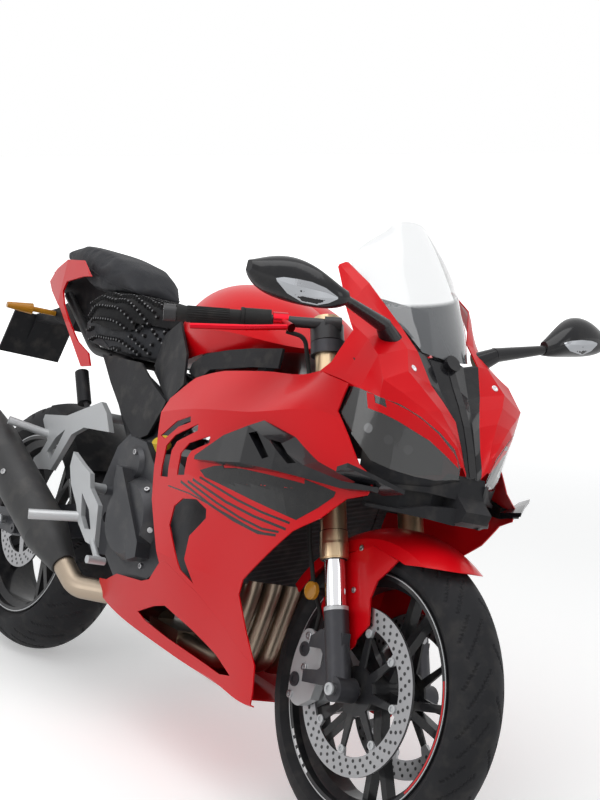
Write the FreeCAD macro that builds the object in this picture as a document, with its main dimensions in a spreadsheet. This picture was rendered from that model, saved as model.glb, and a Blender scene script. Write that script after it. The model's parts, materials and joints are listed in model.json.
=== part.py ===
import FreeCAD, Part
import math
import os
from collections import namedtuple
from types import SimpleNamespace

import Sketcher

# A sport motorcycle, parked on its side stand. Every piece is laid out as if the machine
# stood upright: X forward from the rear axle, Y to the left, Z up from the ground, in
# millimetres. At the end the whole machine is leaned over onto its stand.

Vector = FreeCAD.Vector
Placement = FreeCAD.Placement
Rotation = FreeCAD.Rotation

# Driving dimensions

Size = namedtuple("Size", "name value note")

SIZES = [
    Size("front_axle_x", 1400.0, "front axle ahead of the chassis datum"),
    Size("wheelbase", 1400.0, "rear axle to front axle"),
    Size("lean_angle", 15.5, "lean to the left on the side stand"),
    Size("rake_angle", 24.5, "steering axis back from the vertical"),
    Size("trail", 100.0, "ground trail of the front wheel"),
    Size("front_radius", 300.0, "front tyre at its crown"),
    Size("front_crown", 60.0, "front tread arc"),
    Size("front_bead", 44.0, "front bead face from the middle"),
    Size("rear_radius", 315.0, "rear tyre at its crown"),
    Size("rear_crown", 90.0, "rear tread arc"),
    Size("rear_bead", 68.0, "rear bead face from the middle"),
    Size("crown_angle", 65.0, "half angle of the tread arc"),
    Size("bead_radius", 222.0, "bead seat of both tyres"),
    Size("tyre_wall", 8.0, "thickness of tread and sidewall"),
    Size("bead_thickness", 10.0, "width of a bead"),
    Size("flange_height", 7.0, "rim flange above the bead seat"),
    Size("rim_wall", 4.5, "wall of both rims"),
    Size("rim_well", 16.0, "depth of the well in the rim"),
    Size("spoke_depth", 22.0, "width of a cast spoke across the wheel"),
    Size("spoke_thickness", 15.0, "thickness of a cast spoke in the wheel plane"),
    Size("hub_radius", 34.0, "cast hub"),
    Size("axle_radius", 10.0, "both axles"),
    Size("running_clearance", 0.08, "bearing play around axles and steering stem"),
    Size("disc_radius", 160.0, "front brake disc"),
    Size("disc_inner", 122.0, "inner edge of the front braking ring"),
    Size("disc_thickness", 5.0, "all brake discs"),
    Size("disc_offset", 66.0, "front discs from the middle"),
    Size("rear_disc_radius", 115.0, "rear brake disc"),
    Size("rear_disc_inner", 78.0, "inner edge of the rear braking ring"),
    Size("rear_disc_offset", 76.0, "rear disc from the middle"),
    Size("bobbin_radius", 112.0, "pitch circle of the front disc bobbins"),
    Size("leg_offset", 102.0, "fork legs from the middle"),
    Size("leg_lead", 25.0, "fork legs ahead of the steering axis"),
    Size("fork_outer_radius", 26.0, "upper fork tubes"),
    Size("fork_inner_radius", 20.5, "sliding fork tubes"),
    Size("fork_foot_radius", 24.0, "fork foot castings"),
    Size("stem_radius", 17.0, "steering stem"),
    Size("head_radius", 34.0, "steering head of the frame"),
    Size("yoke_thickness", 26.0, "fork yokes"),
    Size("bar_radius", 11.0, "handlebar tubes"),
    Size("grip_radius", 16.0, "rubber grips"),
    Size("panel_wall", 3.0, "body panels"),
    Size("screen_wall", 3.0, "windscreen"),
    Size("guard_gap", 13.0, "front mudguard above the tyre"),
    Size("guard_half_width", 72.0, "inside of the front mudguard"),
    Size("spar_wall", 30.0, "thickness of a frame spar"),
    Size("arm_gap", 104.0, "inside of the swingarm from the middle"),
    Size("arm_wall", 28.0, "thickness of a swingarm blade"),
    Size("pivot_x", 470.0, "swingarm pivot ahead of the datum"),
    Size("pivot_z", 425.0, "swingarm pivot height"),
    Size("sprocket_radius", 98.0, "rear sprocket at its teeth"),
    Size("chain_offset", 97.0, "chain line from the middle"),
    Size("chain_width", 12.0, "chain across its plates"),
    Size("chain_height", 13.0, "chain plates"),
    Size("engine_half_width", 150.0, "crankcase from the middle"),
    Size("header_radius", 20.0, "exhaust header pipes"),
    Size("collector_radius", 26.0, "exhaust pipe behind the collector"),
    Size("silencer_radius", 56.0, "silencer body"),
    Size("radiator_thickness", 28.0, "radiator core"),
    Size("radiator_half_width", 150.0, "radiator from the middle"),
    Size("seat_pad_thickness", 34.0, "cushion laid on the rider seat"),
    Size("stand_leg_radius", 11.0, "side stand leg"),
    Size("stand_foot_radius", 24.0, "side stand foot"),
]

doc = FreeCAD.newDocument("SportMotorcycle")
sheet = doc.addObject("Spreadsheet::Sheet", "Sizes")
for row, item in enumerate(SIZES, start=1):
    sheet.set(f"A{row}", item.name)
    sheet.set(f"B{row}", str(item.value))
    sheet.set(f"C{row}", item.note)
    sheet.setAlias(f"B{row}", item.name)
doc.recompute()
size = SimpleNamespace(**{item.name: float(sheet.get(item.name)) for item in SIZES})

# Places worked out from the driving dimensions

rear_x = size.front_axle_x - size.wheelbase
front_axle = Vector(size.front_axle_x, 0, size.front_radius)
rear_axle = Vector(rear_x, 0, size.rear_radius)
rake = math.radians(size.rake_angle)
steer_up = Vector(-math.sin(rake), 0, math.cos(rake))
steer_ahead = Vector(math.cos(rake), 0, math.sin(rake))
steer_foot = Vector(size.front_axle_x + size.trail, 0, 0)
axle_lead = (front_axle - steer_foot).dot(steer_ahead) - size.leg_lead
leg_base = front_axle - steer_ahead * axle_lead


def steer_point(height, ahead=0.0, side=0.0):
    """The point of the steering head at a height above the ground, with offsets."""
    along = (height - ahead * steer_ahead.z) / steer_up.z
    return steer_foot + steer_up * along + steer_ahead * ahead + Vector(0, side, 0)


def leg_point(along, side):
    """A point on a fork leg's centre line, measured up from beside the front axle."""
    return leg_base + steer_up * along + Vector(0, side * size.leg_offset, 0)


# Building blocks

nodes = []
SIDES = {"right": -1, "left": 1}


def bind(target, **expressions):
    """Ties properties of an object to cells of the sheet."""
    for name, text in expressions.items():
        target.setExpression(name, text)
    return target


def add_node(name, pieces, shared=False):
    """Keeps a sub-part under its own name; several solids, or one that others use, are a compound."""
    if len(pieces) == 1 and not shared:
        part = pieces[0]
    else:
        part = doc.addObject("Part::Compound", name)
        part.Links = pieces
    part.Label = name
    nodes.append(part)
    return part


def outline(points):
    """Closed run of lines; a point with a third entry is passed through by an arc."""
    curves = []
    start = points[0]
    through = None
    for point in list(points[1:]) + [points[0]]:
        if len(point) == 3:
            through = point
            continue
        a = Vector(start[0], start[1], 0)
        b = Vector(point[0], point[1], 0)
        if through:
            curves.append(Part.Arc(a, Vector(through[0], through[1], 0), b))
        else:
            curves.append(Part.LineSegment(a, b))
        start = point
        through = None
    return curves


def side_sketch(name, points, y):
    """A sketch of an outline in X and Z, standing at a distance from the middle."""
    sketch = doc.addObject("Sketcher::SketchObject", name)
    sketch.addGeometry(outline(points))
    sketch.Placement = Placement(Vector(0, y, 0), Rotation(Vector(1, 0, 0), 90))
    return sketch


def slab(name, points, y_from, y_to):
    """An outline in X and Z, extruded across the machine between two widths."""
    solid = doc.addObject("Part::Extrusion", name)
    solid.Base = side_sketch(name + "_outline", points, y_from)
    solid.DirMode = "Custom"
    solid.Dir = Vector(0, 1, 0)
    solid.LengthFwd = y_to - y_from
    solid.Solid = True
    return solid


def plan_slab(name, points, z_from, z_to):
    """An outline in X and Y, extruded upwards between two heights."""
    sketch = doc.addObject("Sketcher::SketchObject", name + "_outline")
    sketch.addGeometry(outline(points))
    sketch.Placement = Placement(Vector(0, 0, z_from), Rotation())
    solid = doc.addObject("Part::Extrusion", name)
    solid.Base = sketch
    solid.DirMode = "Custom"
    solid.Dir = Vector(0, 0, 1)
    solid.LengthFwd = z_to - z_from
    solid.Solid = True
    return solid


def front_slab(name, points, x_from, x_to):
    """An outline in Y and Z, extruded along the machine between two stations."""
    sketch = doc.addObject("Sketcher::SketchObject", name + "_outline")
    sketch.addGeometry(outline(points))
    facing = Rotation(Vector(0, 1, 0), Vector(0, 0, 1), Vector(1, 0, 0), "XYZ")
    sketch.Placement = Placement(Vector(x_from, 0, 0), facing)
    solid = doc.addObject("Part::Extrusion", name)
    solid.Base = sketch
    solid.DirMode = "Custom"
    solid.Dir = Vector(1, 0, 0)
    solid.LengthFwd = x_to - x_from
    solid.Solid = True
    return solid


def rod(name, start, end, radius):
    """A cylinder between two points; the radius is an expression of sheet cells."""
    solid = doc.addObject("Part::Cylinder", name)
    solid.Height = (end - start).Length
    solid.Placement = Placement(start, Rotation(Vector(0, 0, 1), end - start))
    return bind(solid, Radius=radius)


def cone(name, start, end, radius_start, radius_end):
    """A tapered cylinder between two points."""
    solid = doc.addObject("Part::Cone", name)
    solid.Height = (end - start).Length
    solid.Radius1 = radius_start
    solid.Radius2 = radius_end
    solid.Placement = Placement(start, Rotation(Vector(0, 0, 1), end - start))
    return solid


def fuse(name, pieces):
    solid = doc.addObject("Part::MultiFuse", name)
    solid.Shapes = pieces
    solid.Refine = True
    return solid


def cut(name, base, tools):
    solid = doc.addObject("Part::Cut", name)
    solid.Base = base
    solid.Tool = tools[0] if len(tools) == 1 else fuse(name + "_tools", tools)
    return solid


def common(name, first, second):
    solid = doc.addObject("Part::Common", name)
    solid.Base = first
    solid.Tool = second
    return solid


def mirrored(name, source):
    """The same piece on the other side of the machine."""
    solid = doc.addObject("Part::Mirroring", name)
    solid.Source = source
    solid.Normal = Vector(0, 1, 0)
    solid.Base = Vector(0, 0, 0)
    return solid


def both_sides(name, source):
    """A piece and its mirror image, as two solids of one sub-part."""
    return add_node(name, [source, mirrored(name + "_other", source)])


def loft(name, sections, ruled=False):
    """A solid through closed polygons in space."""
    polygons = []
    for number, points in enumerate(sections):
        polygon = doc.addObject("Part::Polygon", f"{name}_section{number}")
        polygon.Nodes = points
        polygon.Close = True
        polygons.append(polygon)
    solid = doc.addObject("Part::Loft", name)
    solid.Sections = polygons
    solid.Solid = True
    solid.Ruled = ruled
    return solid


def shape_piece(name, shape, placement=Placement()):
    piece = doc.addObject("Part::Feature", name)
    piece.Shape = shape
    piece.Placement = placement
    return piece


def bent_wire(points, radius):
    """Straight runs joined by tangent arcs."""
    edges = []
    last = points[0]
    for before, corner, after in zip(points, points[1:], points[2:]):
        back = (before - corner).normalize()
        ahead = (after - corner).normalize()
        half = back.getAngle(ahead) / 2
        reach = radius / math.tan(half)
        start = corner + back * reach
        end = corner + ahead * reach
        middle = (back + ahead).normalize()
        centre = corner + middle * (radius / math.sin(half))
        edges.append(Part.LineSegment(last, start).toShape())
        edges.append(Part.Arc(start, centre - middle * radius, end).toShape())
        last = end
    edges.append(Part.LineSegment(last, points[-1]).toShape())
    return Part.Wire(edges)


def bent_tube(name, points, radius, bend_radius, wall=0.0):
    """A round tube along a bent route, open inside where it has a wall."""
    route = bent_wire(points, bend_radius)
    direction = points[1] - points[0]

    def swept(section_radius):
        circle = Part.Wire([Part.Circle(points[0], direction, section_radius).toShape()])
        return route.makePipeShell([circle], True, True)

    solid = swept(radius)
    if wall:
        solid = solid.cut(swept(radius - wall))
    return shape_piece(name, solid)


def origin_plane(body, role):
    return [item for item in body.Origin.OriginFeatures if item.Role == role][0]


def body_sketch(body, role, geometry, offset=0.0):
    """A sketch on one of the body's own origin planes."""
    sketch = body.newObject("Sketcher::SketchObject", body.Name + "_sketch")
    sketch.AttachmentSupport = [(origin_plane(body, role), "")]
    sketch.MapMode = "FlatFace"
    sketch.AttachmentOffset = Placement(Vector(0, 0, offset), Rotation())
    sketch.addGeometry(geometry)
    return sketch


def revolve(body, geometry):
    """Turns an outline in Y and Z about the body's Y axis."""
    sketch = body_sketch(body, "YZ_Plane", geometry)
    feature = body.newObject("PartDesign::Revolution", body.Name + "_turned")
    feature.Profile = sketch
    feature.ReferenceAxis = (sketch, ["H_Axis"])
    feature.Angle = 360
    return feature


def pad_across(body, geometry, length, offset=0.0):
    """Pads an outline in X and Z evenly to both sides of a plane across the machine."""
    sketch = body_sketch(body, "XZ_Plane", geometry, -offset)
    feature = body.newObject("PartDesign::Pad", body.Name + "_pad")
    feature.Profile = sketch
    feature.SideType = "Symmetric"
    bind(feature, Length=length)
    return feature


def polar(body, feature, count):
    """Repeats a padded feature evenly about the body's Y axis."""
    pattern = body.newObject("PartDesign::PolarPattern", body.Name + "_pattern")
    pattern.Originals = [feature]
    pattern.Axis = (feature.Profile[0], ["N_Axis"])
    pattern.Angle = 360
    pattern.Occurrences = count
    body.Tip = pattern
    return pattern


def new_body(name, place=Vector()):
    body = doc.addObject("PartDesign::Body", name)
    body.Placement = Placement(place, Rotation())
    return body


def ring(radius_outer, radius_inner):
    """Two circles about the body's own axis."""
    axis = Vector(0, 0, 1)
    return [Part.Circle(Vector(), axis, radius_outer), Part.Circle(Vector(), axis, radius_inner)]


# Wheels


def tyre(name, place, radius, crown, bead):
    """Carcass with a round tread, sidewalls that pull in to the beads and a hollow inside."""
    middle = radius - crown
    edge = math.radians(size.crown_angle)
    inner = crown - size.tyre_wall
    inner_edge = edge * 0.85
    tread = (crown * math.sin(edge), middle + crown * math.cos(edge))
    hollow = (inner * math.sin(inner_edge), middle + inner * math.cos(inner_edge))
    bulge = (crown * (math.sin(edge) + 1) / 2, (tread[1] + size.bead_radius) / 2 + 4)
    toe = bead - size.bead_thickness
    shelf = size.bead_radius + size.flange_height + 2
    points = [
        (bead, size.bead_radius),
        (bead, shelf),
        (bulge[0], bulge[1], "arc"),
        tread,
        (0, radius, "arc"),
        (-tread[0], tread[1]),
        (-bulge[0], bulge[1], "arc"),
        (-bead, shelf),
        (-bead, size.bead_radius),
        (-toe, size.bead_radius),
        (-hollow[0], hollow[1]),
        (0, radius - size.tyre_wall, "arc"),
        hollow,
        (toe, size.bead_radius),
    ]
    body = new_body(name, place)
    revolve(body, outline(points))
    return add_node(name, [body])


def rim(name, place, bead, hub_half, stars=()):
    """Cast wheel: hub, five forked spokes and a rim with a well and two flanges."""
    seat = size.bead_radius - 0.3
    flange = bead + 0.4
    lip = flange + size.rim_wall
    well = seat - size.rim_well
    barrel = [
        (lip, seat + size.flange_height),
        (flange, seat + size.flange_height),
        (flange, seat),
        (flange - 14, seat),
        (flange - 24, well),
        (24 - flange, well),
        (14 - flange, seat),
        (-flange, seat),
        (-flange, seat + size.flange_height),
        (-lip, seat + size.flange_height),
        (-lip, seat - size.rim_wall),
        (12 - flange, seat - size.rim_wall),
        (22 - flange, well - size.rim_wall),
        (flange - 22, well - size.rim_wall),
        (flange - 12, seat - size.rim_wall),
        (lip, seat - size.rim_wall),
    ]
    bore = size.axle_radius + size.running_clearance
    hub = [(-hub_half, bore), (hub_half, bore), (hub_half, size.hub_radius), (-hub_half, size.hub_radius)]
    body = new_body(name + "_casting", place)
    revolve(body, outline(hub))
    reach = well - size.rim_wall / 2
    half = size.spoke_thickness / 2
    root = size.hub_radius - 4
    fork = root + (reach - root) * 0.3
    spread = 30.0
    spoke = [
        (root, -half * 1.6),
        (fork, -half * 1.5),
        (reach, -spread - half),
        (reach, -spread + half),
        (fork + 26, 0),
        (reach, spread - half),
        (reach, spread + half),
        (fork, half * 1.5),
        (root, half * 1.6),
    ]
    arm = pad_across(body, outline(spoke), "Sizes.spoke_depth")
    polar(body, arm, 5)
    revolve(body, outline(barrel))
    if stars:
        return add_node(name, [fuse(name, [body] + list(stars))])
    return add_node(name, [body])


tyre("front_tyre", front_axle, size.front_radius, size.front_crown, size.front_bead)
tyre("rear_tyre", rear_axle, size.rear_radius, size.rear_crown, size.rear_bead)


def floating_disc(name, place, side):
    """Braking ring with eight tabs for the bobbins on its inner edge."""
    body = new_body(name, place + Vector(0, side * size.disc_offset, 0))
    pad_across(body, ring(size.disc_radius, size.disc_inner), "Sizes.disc_thickness")
    tab = [
        (size.bobbin_radius - 6, -7),
        (size.disc_inner + 2, -12),
        (size.disc_inner + 2, 12),
        (size.bobbin_radius - 6, 7),
    ]
    polar(body, pad_across(body, outline(tab), "Sizes.disc_thickness"), 8)
    return body


def disc_carrier(name, place, side):
    """Star that carries the braking ring on the hub, one arm for each bobbin."""
    inner = size.axle_radius + 8
    reach = size.bobbin_radius - 6
    body = new_body(name, place + Vector(0, side * size.disc_offset, 0))
    pad_across(body, ring(size.hub_radius + 14, inner), "Sizes.disc_thickness")
    arm = [(size.hub_radius + 10, -9), (reach, -6), (reach, 6), (size.hub_radius + 10, 9)]
    polar(body, pad_across(body, outline(arm), "Sizes.disc_thickness"), 8)
    return body


add_node("front_discs", [floating_disc(f"disc_{key}", front_axle, side) for key, side in SIDES.items()])
carriers = [disc_carrier(f"carrier_{key}", front_axle, side) for key, side in SIDES.items()]
rim("front_rim", front_axle, size.front_bead, size.disc_offset - size.disc_thickness / 2, carriers)
rim("rear_rim", rear_axle, size.rear_bead, size.rear_disc_offset - size.disc_thickness / 2)

rear_disc = new_body("rear_disc", rear_axle - Vector(0, size.rear_disc_offset, 0))
pad_across(rear_disc, ring(size.rear_disc_radius, size.rear_disc_inner), "Sizes.disc_thickness")
rear_arm = [
    (size.hub_radius - 6, -11),
    (size.rear_disc_inner + 2, -9),
    (size.rear_disc_inner + 2, 9),
    (size.hub_radius - 6, 11),
]
polar(rear_disc, pad_across(rear_disc, outline(rear_arm), "Sizes.disc_thickness"), 5)
pad_across(rear_disc, ring(size.hub_radius, size.axle_radius + 8), "Sizes.disc_thickness")
add_node("rear_disc", [rear_disc])

# Front fork and steering

FOOT_TOP = 150.0
INNER_TOP = 320.0
OUTER_BOTTOM = 250.0
OUTER_TOP = 748.0
LOWER_YOKE = 742.0
UPPER_YOKE = 905.0

outer_tubes = []
inner_tubes = []
for key, side in SIDES.items():
    inner_tubes.append(
        rod(f"inner_tube_{key}", leg_point(FOOT_TOP, side), leg_point(INNER_TOP, side), "Sizes.fork_inner_radius")
    )
    tube = rod(f"outer_{key}", leg_point(OUTER_BOTTOM, side), leg_point(OUTER_TOP, side), "Sizes.fork_outer_radius")
    bore = rod(
        f"outer_bore_{key}", leg_point(OUTER_BOTTOM - 1, side), leg_point(INNER_TOP, side), "Sizes.fork_inner_radius"
    )
    outer_tubes.append(cut(f"outer_tube_{key}", tube, [bore]))
shank = rod("shank", leg_point(0, 1), leg_point(FOOT_TOP, 1), "Sizes.fork_foot_radius")
leg_side = Vector(0, size.leg_offset, 0)
boss = rod(
    "boss", front_axle + leg_side - Vector(0, 24, 0), front_axle + leg_side + Vector(0, 22, 0), "Sizes.axle_radius + 14"
)
lug_centre = leg_point(48, 1)
lug = slab(
    "lug",
    [
        (lug_centre.x - 62, lug_centre.z + 52),
        (lug_centre.x + 4, lug_centre.z + 62),
        (lug_centre.x + 18, lug_centre.z - 40),
        (lug_centre.x - 84, lug_centre.z - 58),
        (lug_centre.x - 88, lug_centre.z - 34),
        (lug_centre.x - 48, lug_centre.z - 24),
        (lug_centre.x - 36, lug_centre.z, "arc"),
        (lug_centre.x - 52, lug_centre.z + 16),
        (lug_centre.x - 90, lug_centre.z + 10),
        (lug_centre.x - 88, lug_centre.z + 32),
    ],
    size.leg_offset - 9.8,
    size.leg_offset + 9,
)
axle_hole = rod(
    "axle_hole", front_axle + leg_side - Vector(0, 40, 0), front_axle + leg_side + Vector(0, 40, 0), "Sizes.axle_radius"
)
both_sides("fork_feet", cut("fork_foot", fuse("fork_foot_solid", [shank, boss, lug]), [axle_hole]))
add_node("fork_outer_tubes", outer_tubes)
add_node("fork_inner_tubes", inner_tubes)

axle_half = size.leg_offset + 30
add_node(
    "front_axle",
    [rod("front_axle", front_axle - Vector(0, axle_half, 0), front_axle + Vector(0, axle_half, 0), "Sizes.axle_radius")],
)


def yoke(name, height, width):
    """Clamp plate across both fork legs and the stem, square to the steering axis."""
    centre = steer_point(height)
    body = doc.addObject("PartDesign::Body", name)
    frame = Rotation(steer_ahead, Vector(0, 1, 0), steer_up, "ZXY")
    body.Placement = Placement(centre, frame)
    lead = size.leg_lead
    reach = size.leg_offset
    clamp = size.fork_outer_radius + 9
    plate = [
        (-width, -30),
        (-width - 6, 0, "arc"),
        (-width, 30),
        (lead - clamp * 0.8, reach - 10),
        (lead - clamp * 0.5, reach + clamp * 0.85, "arc"),
        (lead + clamp * 0.8, reach + clamp * 0.5),
        (lead + clamp, reach, "arc"),
        (lead + clamp * 0.8, reach - clamp * 0.8),
        (lead + 8, 0, "arc"),
        (lead + clamp * 0.8, clamp * 0.8 - reach),
        (lead + clamp, -reach, "arc"),
        (lead + clamp * 0.8, -reach - clamp * 0.5),
        (lead - clamp * 0.5, -reach - clamp * 0.85, "arc"),
        (lead - clamp * 0.8, 10 - reach),
    ]
    sketch = body_sketch(body, "XY_Plane", outline(plate))
    pad = body.newObject("PartDesign::Pad", name + "_pad")
    pad.Profile = sketch
    pad.SideType = "Symmetric"
    bind(pad, Length="Sizes.yoke_thickness")
    holes = [
        Part.Circle(Vector(lead, -reach, 0), Vector(0, 0, 1), size.fork_outer_radius),
        Part.Circle(Vector(lead, reach, 0), Vector(0, 0, 1), size.fork_outer_radius),
    ]
    hole_sketch = body_sketch(body, "XY_Plane", holes)
    pocket = body.newObject("PartDesign::Pocket", name + "_holes")
    pocket.Profile = hole_sketch
    pocket.SideType = "Symmetric"
    pocket.Type = "ThroughAll"
    return body


stem = rod("stem", steer_point(LOWER_YOKE), steer_point(UPPER_YOKE), "Sizes.stem_radius")
yokes = fuse("yokes", [yoke("lower_yoke", LOWER_YOKE, 34), yoke("upper_yoke", UPPER_YOKE, 30), stem])
add_node("yokes", [yokes])

BAR_ROOT = Vector(1112, 100, 968)
BAR_END = Vector(950, 378, 915)
bar_way = (BAR_END - BAR_ROOT).normalize()
bar_length = (BAR_END - BAR_ROOT).Length


def bar_point(along, side):
    point = BAR_ROOT + bar_way * along
    return Vector(point.x, side * point.y, point.z)


CLAMP_LOW = 695.0
CLAMP_HIGH = 730.0
bars = []
grips = []
switchgear = []
levers = []
for key, side in SIDES.items():
    clamp = rod(f"clamp_{key}", leg_point(CLAMP_LOW, side), leg_point(CLAMP_HIGH, side), "Sizes.fork_outer_radius + 8")
    bar = rod(f"bar_tube_{key}", bar_point(0, side), bar_point(bar_length - 4, side), "Sizes.bar_radius")
    knuckle = rod(f"knuckle_{key}", bar_point(-12, side), bar_point(22, side), "Sizes.bar_radius + 5")
    leg_hole = rod(
        f"clamp_hole_{key}", leg_point(CLAMP_LOW - 40, side), leg_point(CLAMP_HIGH + 60, side), "Sizes.fork_outer_radius"
    )
    weight = rod(f"weight_{key}", bar_point(bar_length - 6, side), bar_point(bar_length + 18, side), "Sizes.grip_radius + 1")
    bars.append(cut(f"bar_{key}", fuse(f"bar_solid_{key}", [clamp, bar, knuckle, weight]), [leg_hole]))
    grip = rod(f"grip_solid_{key}", bar_point(bar_length - 138, side), bar_point(bar_length - 8, side), "Sizes.grip_radius")
    collar = rod(
        f"grip_collar_{key}", bar_point(bar_length - 142, side), bar_point(bar_length - 136, side), "Sizes.grip_radius + 6"
    )
    grip_bore = rod(
        f"grip_bore_{key}", bar_point(bar_length - 150, side), bar_point(bar_length, side), "Sizes.bar_radius"
    )
    grips.append(cut(f"grip_{key}", fuse(f"grip_body_{key}", [grip, collar]), [grip_bore]))
    pod = rod(f"pod_{key}", bar_point(bar_length - 196, side), bar_point(bar_length - 143, side), "Sizes.grip_radius + 5")
    pod_bore = rod(
        f"pod_bore_{key}", bar_point(bar_length - 200, side), bar_point(bar_length - 140, side), "Sizes.bar_radius"
    )
    switchgear.append(cut(f"switch_pod_{key}", pod, [pod_bore]))
    ahead = Vector(38, 0, -8)
    perch = bar_point(bar_length - 215, side)
    bracket = rod(f"perch_{key}", perch, perch + ahead * 1.15, "Sizes.bar_radius - 2")
    pivot = perch + ahead
    blade_mid = bar_point(bar_length - 130, side) + ahead + Vector(10, 0, -6)
    blade_end = bar_point(bar_length - 18, side) + ahead + Vector(2, 0, -12)
    blade = bent_tube(f"lever_{key}", [pivot, blade_mid, blade_end], 6.0, 160.0)
    perch_bore = rod(
        f"perch_bore_{key}", bar_point(bar_length - 232, side), bar_point(bar_length - 198, side), "Sizes.bar_radius"
    )
    ringed = rod(
        f"perch_ring_{key}", bar_point(bar_length - 230, side), bar_point(bar_length - 200, side), "Sizes.bar_radius + 6"
    )
    levers.append(cut(f"lever_set_{key}", fuse(f"lever_solid_{key}", [bracket, blade, ringed]), [perch_bore]))
add_node("handlebars", bars)
add_node("grips_and_switchgear", grips + switchgear)
add_node("levers", levers)

calipers = []
caliper_outline = [
    (-166, 62),
    (-152, 78, "arc"),
    (-128, 74),
    (-92, 44),
    (-88, 0),
    (-96, -48),
    (-128, -70),
    (-158, -64, "arc"),
    (-172, -36),
    (-176, 12, "arc"),
]
for key, side in SIDES.items():
    middle = side * size.disc_offset
    shell = slab(
        f"caliper_shell_{key}",
        [(front_axle.x + p[0], front_axle.z + p[1]) + tuple(p[2:]) for p in caliper_outline],
        middle - 24 - 2 * (side < 0),
        middle + 24 + 2 * (side > 0),
    )
    slot = rod(
        f"caliper_slot_{key}",
        front_axle + Vector(0, middle - 5, 0),
        front_axle + Vector(0, middle + 5, 0),
        "Sizes.disc_radius + 2",
    )
    calipers.append(cut(f"caliper_{key}", shell, [slot]))
add_node("front_calipers", calipers)

guard_inner = size.front_radius + size.guard_gap
guard_edge = size.front_radius - 34
GUARD_WALL = 4.0
half = size.guard_half_width
guard_section = [
    (-half, guard_edge),
    (-half + 4, guard_inner - 26),
    (0, guard_inner, "arc"),
    (half - 4, guard_inner - 26),
    (half, guard_edge),
    (half + GUARD_WALL, guard_edge),
    (half, guard_inner - 24),
    (0, guard_inner + GUARD_WALL, "arc"),
    (-half, guard_inner - 24),
    (-half - GUARD_WALL, guard_edge),
]
GUARD_FRONT = 54.0
GUARD_REAR = 150.0
guard_sketch = doc.addObject("Sketcher::SketchObject", "guard_section")
guard_sketch.addGeometry(outline(guard_section))
guard_frame = Rotation(Vector(0, 1, 0), Vector(1, 0, 0), Vector(0, 0, -1), "XYZ")
guard_start = Rotation(Vector(0, -1, 0), GUARD_FRONT).multiply(guard_frame)
guard_sketch.Placement = Placement(front_axle, guard_start)
guard_arch = doc.addObject("Part::Revolution", "guard_arch")
guard_arch.Source = guard_sketch
guard_arch.Base = front_axle
guard_arch.Axis = Vector(0, -1, 0)
guard_arch.Angle = GUARD_REAR - GUARD_FRONT
guard_arch.Solid = True
guard_front_trim = [
    (1700, 582),
    (1571, 582),
    (1554, 573),
    (1499, 566),
    (1440, 556),
    (1400, 540),
    (1400, 300),
    (1700, 300),
]
guard_arch_trimmed = cut("guard_arch_trimmed", guard_arch, [slab("guard_front_trim", guard_front_trim, -120, 120)])
guard_cheek = [
    (-146, 172),
    (-110, 240),
    (-40, 272),
    (38, 262),
    (20, 240),
    (-6, 212),
    (-14, 176),
    (0, 128),
    (-26, 92),
    (-52, 66, "arc"),
    (-74, 84),
    (-124, 92),
    (-150, 124),
]
cheeks = []
for key, side in SIDES.items():
    low, high = sorted((side * half, side * (half + GUARD_WALL)))
    cheeks.append(
        slab(
            f"guard_cheek_{key}",
            [(front_axle.x + p[0], front_axle.z + p[1]) + tuple(p[2:]) for p in guard_cheek],
            low,
            high,
        )
    )
add_node("front_mudguard", [fuse("front_mudguard", [guard_arch_trimmed] + cheeks)])

# Frame, engine and exhaust

head_low = steer_point(LOWER_YOKE + size.yoke_thickness / 2 + 6)
head_high = steer_point(UPPER_YOKE - size.yoke_thickness / 2 - 6)
spar_side = [
    (1168, 775),
    (1115, 860),
    (1000, 840),
    (900, 822),
    (740, 786),
    (560, 690),
    (450, 590),
    (415, 480),
    (415, 350),
    (450, 336),
    (522, 345),
    (530, 500),
    (585, 600),
    (700, 690),
    (860, 752),
    (1010, 742),
]
spar_plan_outer = [
    (1180, 30),
    (1100, 34),
    (1010, 88),
    (880, 122),
    (640, 126),
    (540, 128),
    (400, 128),
]
wall = size.spar_wall
spar_plan = (
    spar_plan_outer
    + [(400, 106), (540, 106), (650, 126 - wall), (870, 122 - wall), (990, 88 - wall), (1085, 4), (1180, 0)]
)
spar_left = common("spar", slab("spar_side", spar_side, 0, 180), plan_slab("spar_plan", spar_plan, 280, 900))
spar_right = mirrored("spar_right", spar_left)
head_tube = rod("head_tube", head_low, head_high, "Sizes.head_radius")
head_bore = rod(
    "head_bore", steer_point(LOWER_YOKE), steer_point(UPPER_YOKE), "Sizes.stem_radius + Sizes.running_clearance"
)
pivot = Vector(size.pivot_x, 0, size.pivot_z)
cross_low = slab("cross_low", [(500, 344), (520, 346), (520, 358), (500, 358)], -112, 112)
cross_high = slab("cross_high", [(452, 594), (520, 618), (520, 650), (475, 640)], -112, 112)
tank_rests = [
    slab("tank_rest_front", [(900, 812), (930, 818), (930, 889), (900, 884)], 90, 110),
    slab("tank_rest_rear", [(700, 762), (730, 776), (730, 854), (700, 848)], 100, 122),
]
pivot_hole = rod("pivot_hole", pivot - Vector(0, 160, 0), pivot + Vector(0, 160, 0), "Sizes.axle_radius + 2")

# The foot, the pivot and the folded place of the side stand

lean = math.radians(size.lean_angle)
crown_step = (size.rear_crown - size.front_crown) * (1 - math.cos(lean))
pitch = math.asin(crown_step / size.wheelbase)
ground_drop = size.rear_crown * (1 - math.cos(lean))
ground_up = Vector(0, -math.sin(lean), math.cos(lean))


def ground_height(y):
    """The ground below a point of the leaned machine, in its upright frame."""
    return y * math.tan(lean) - ground_drop / math.cos(lean)


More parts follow.
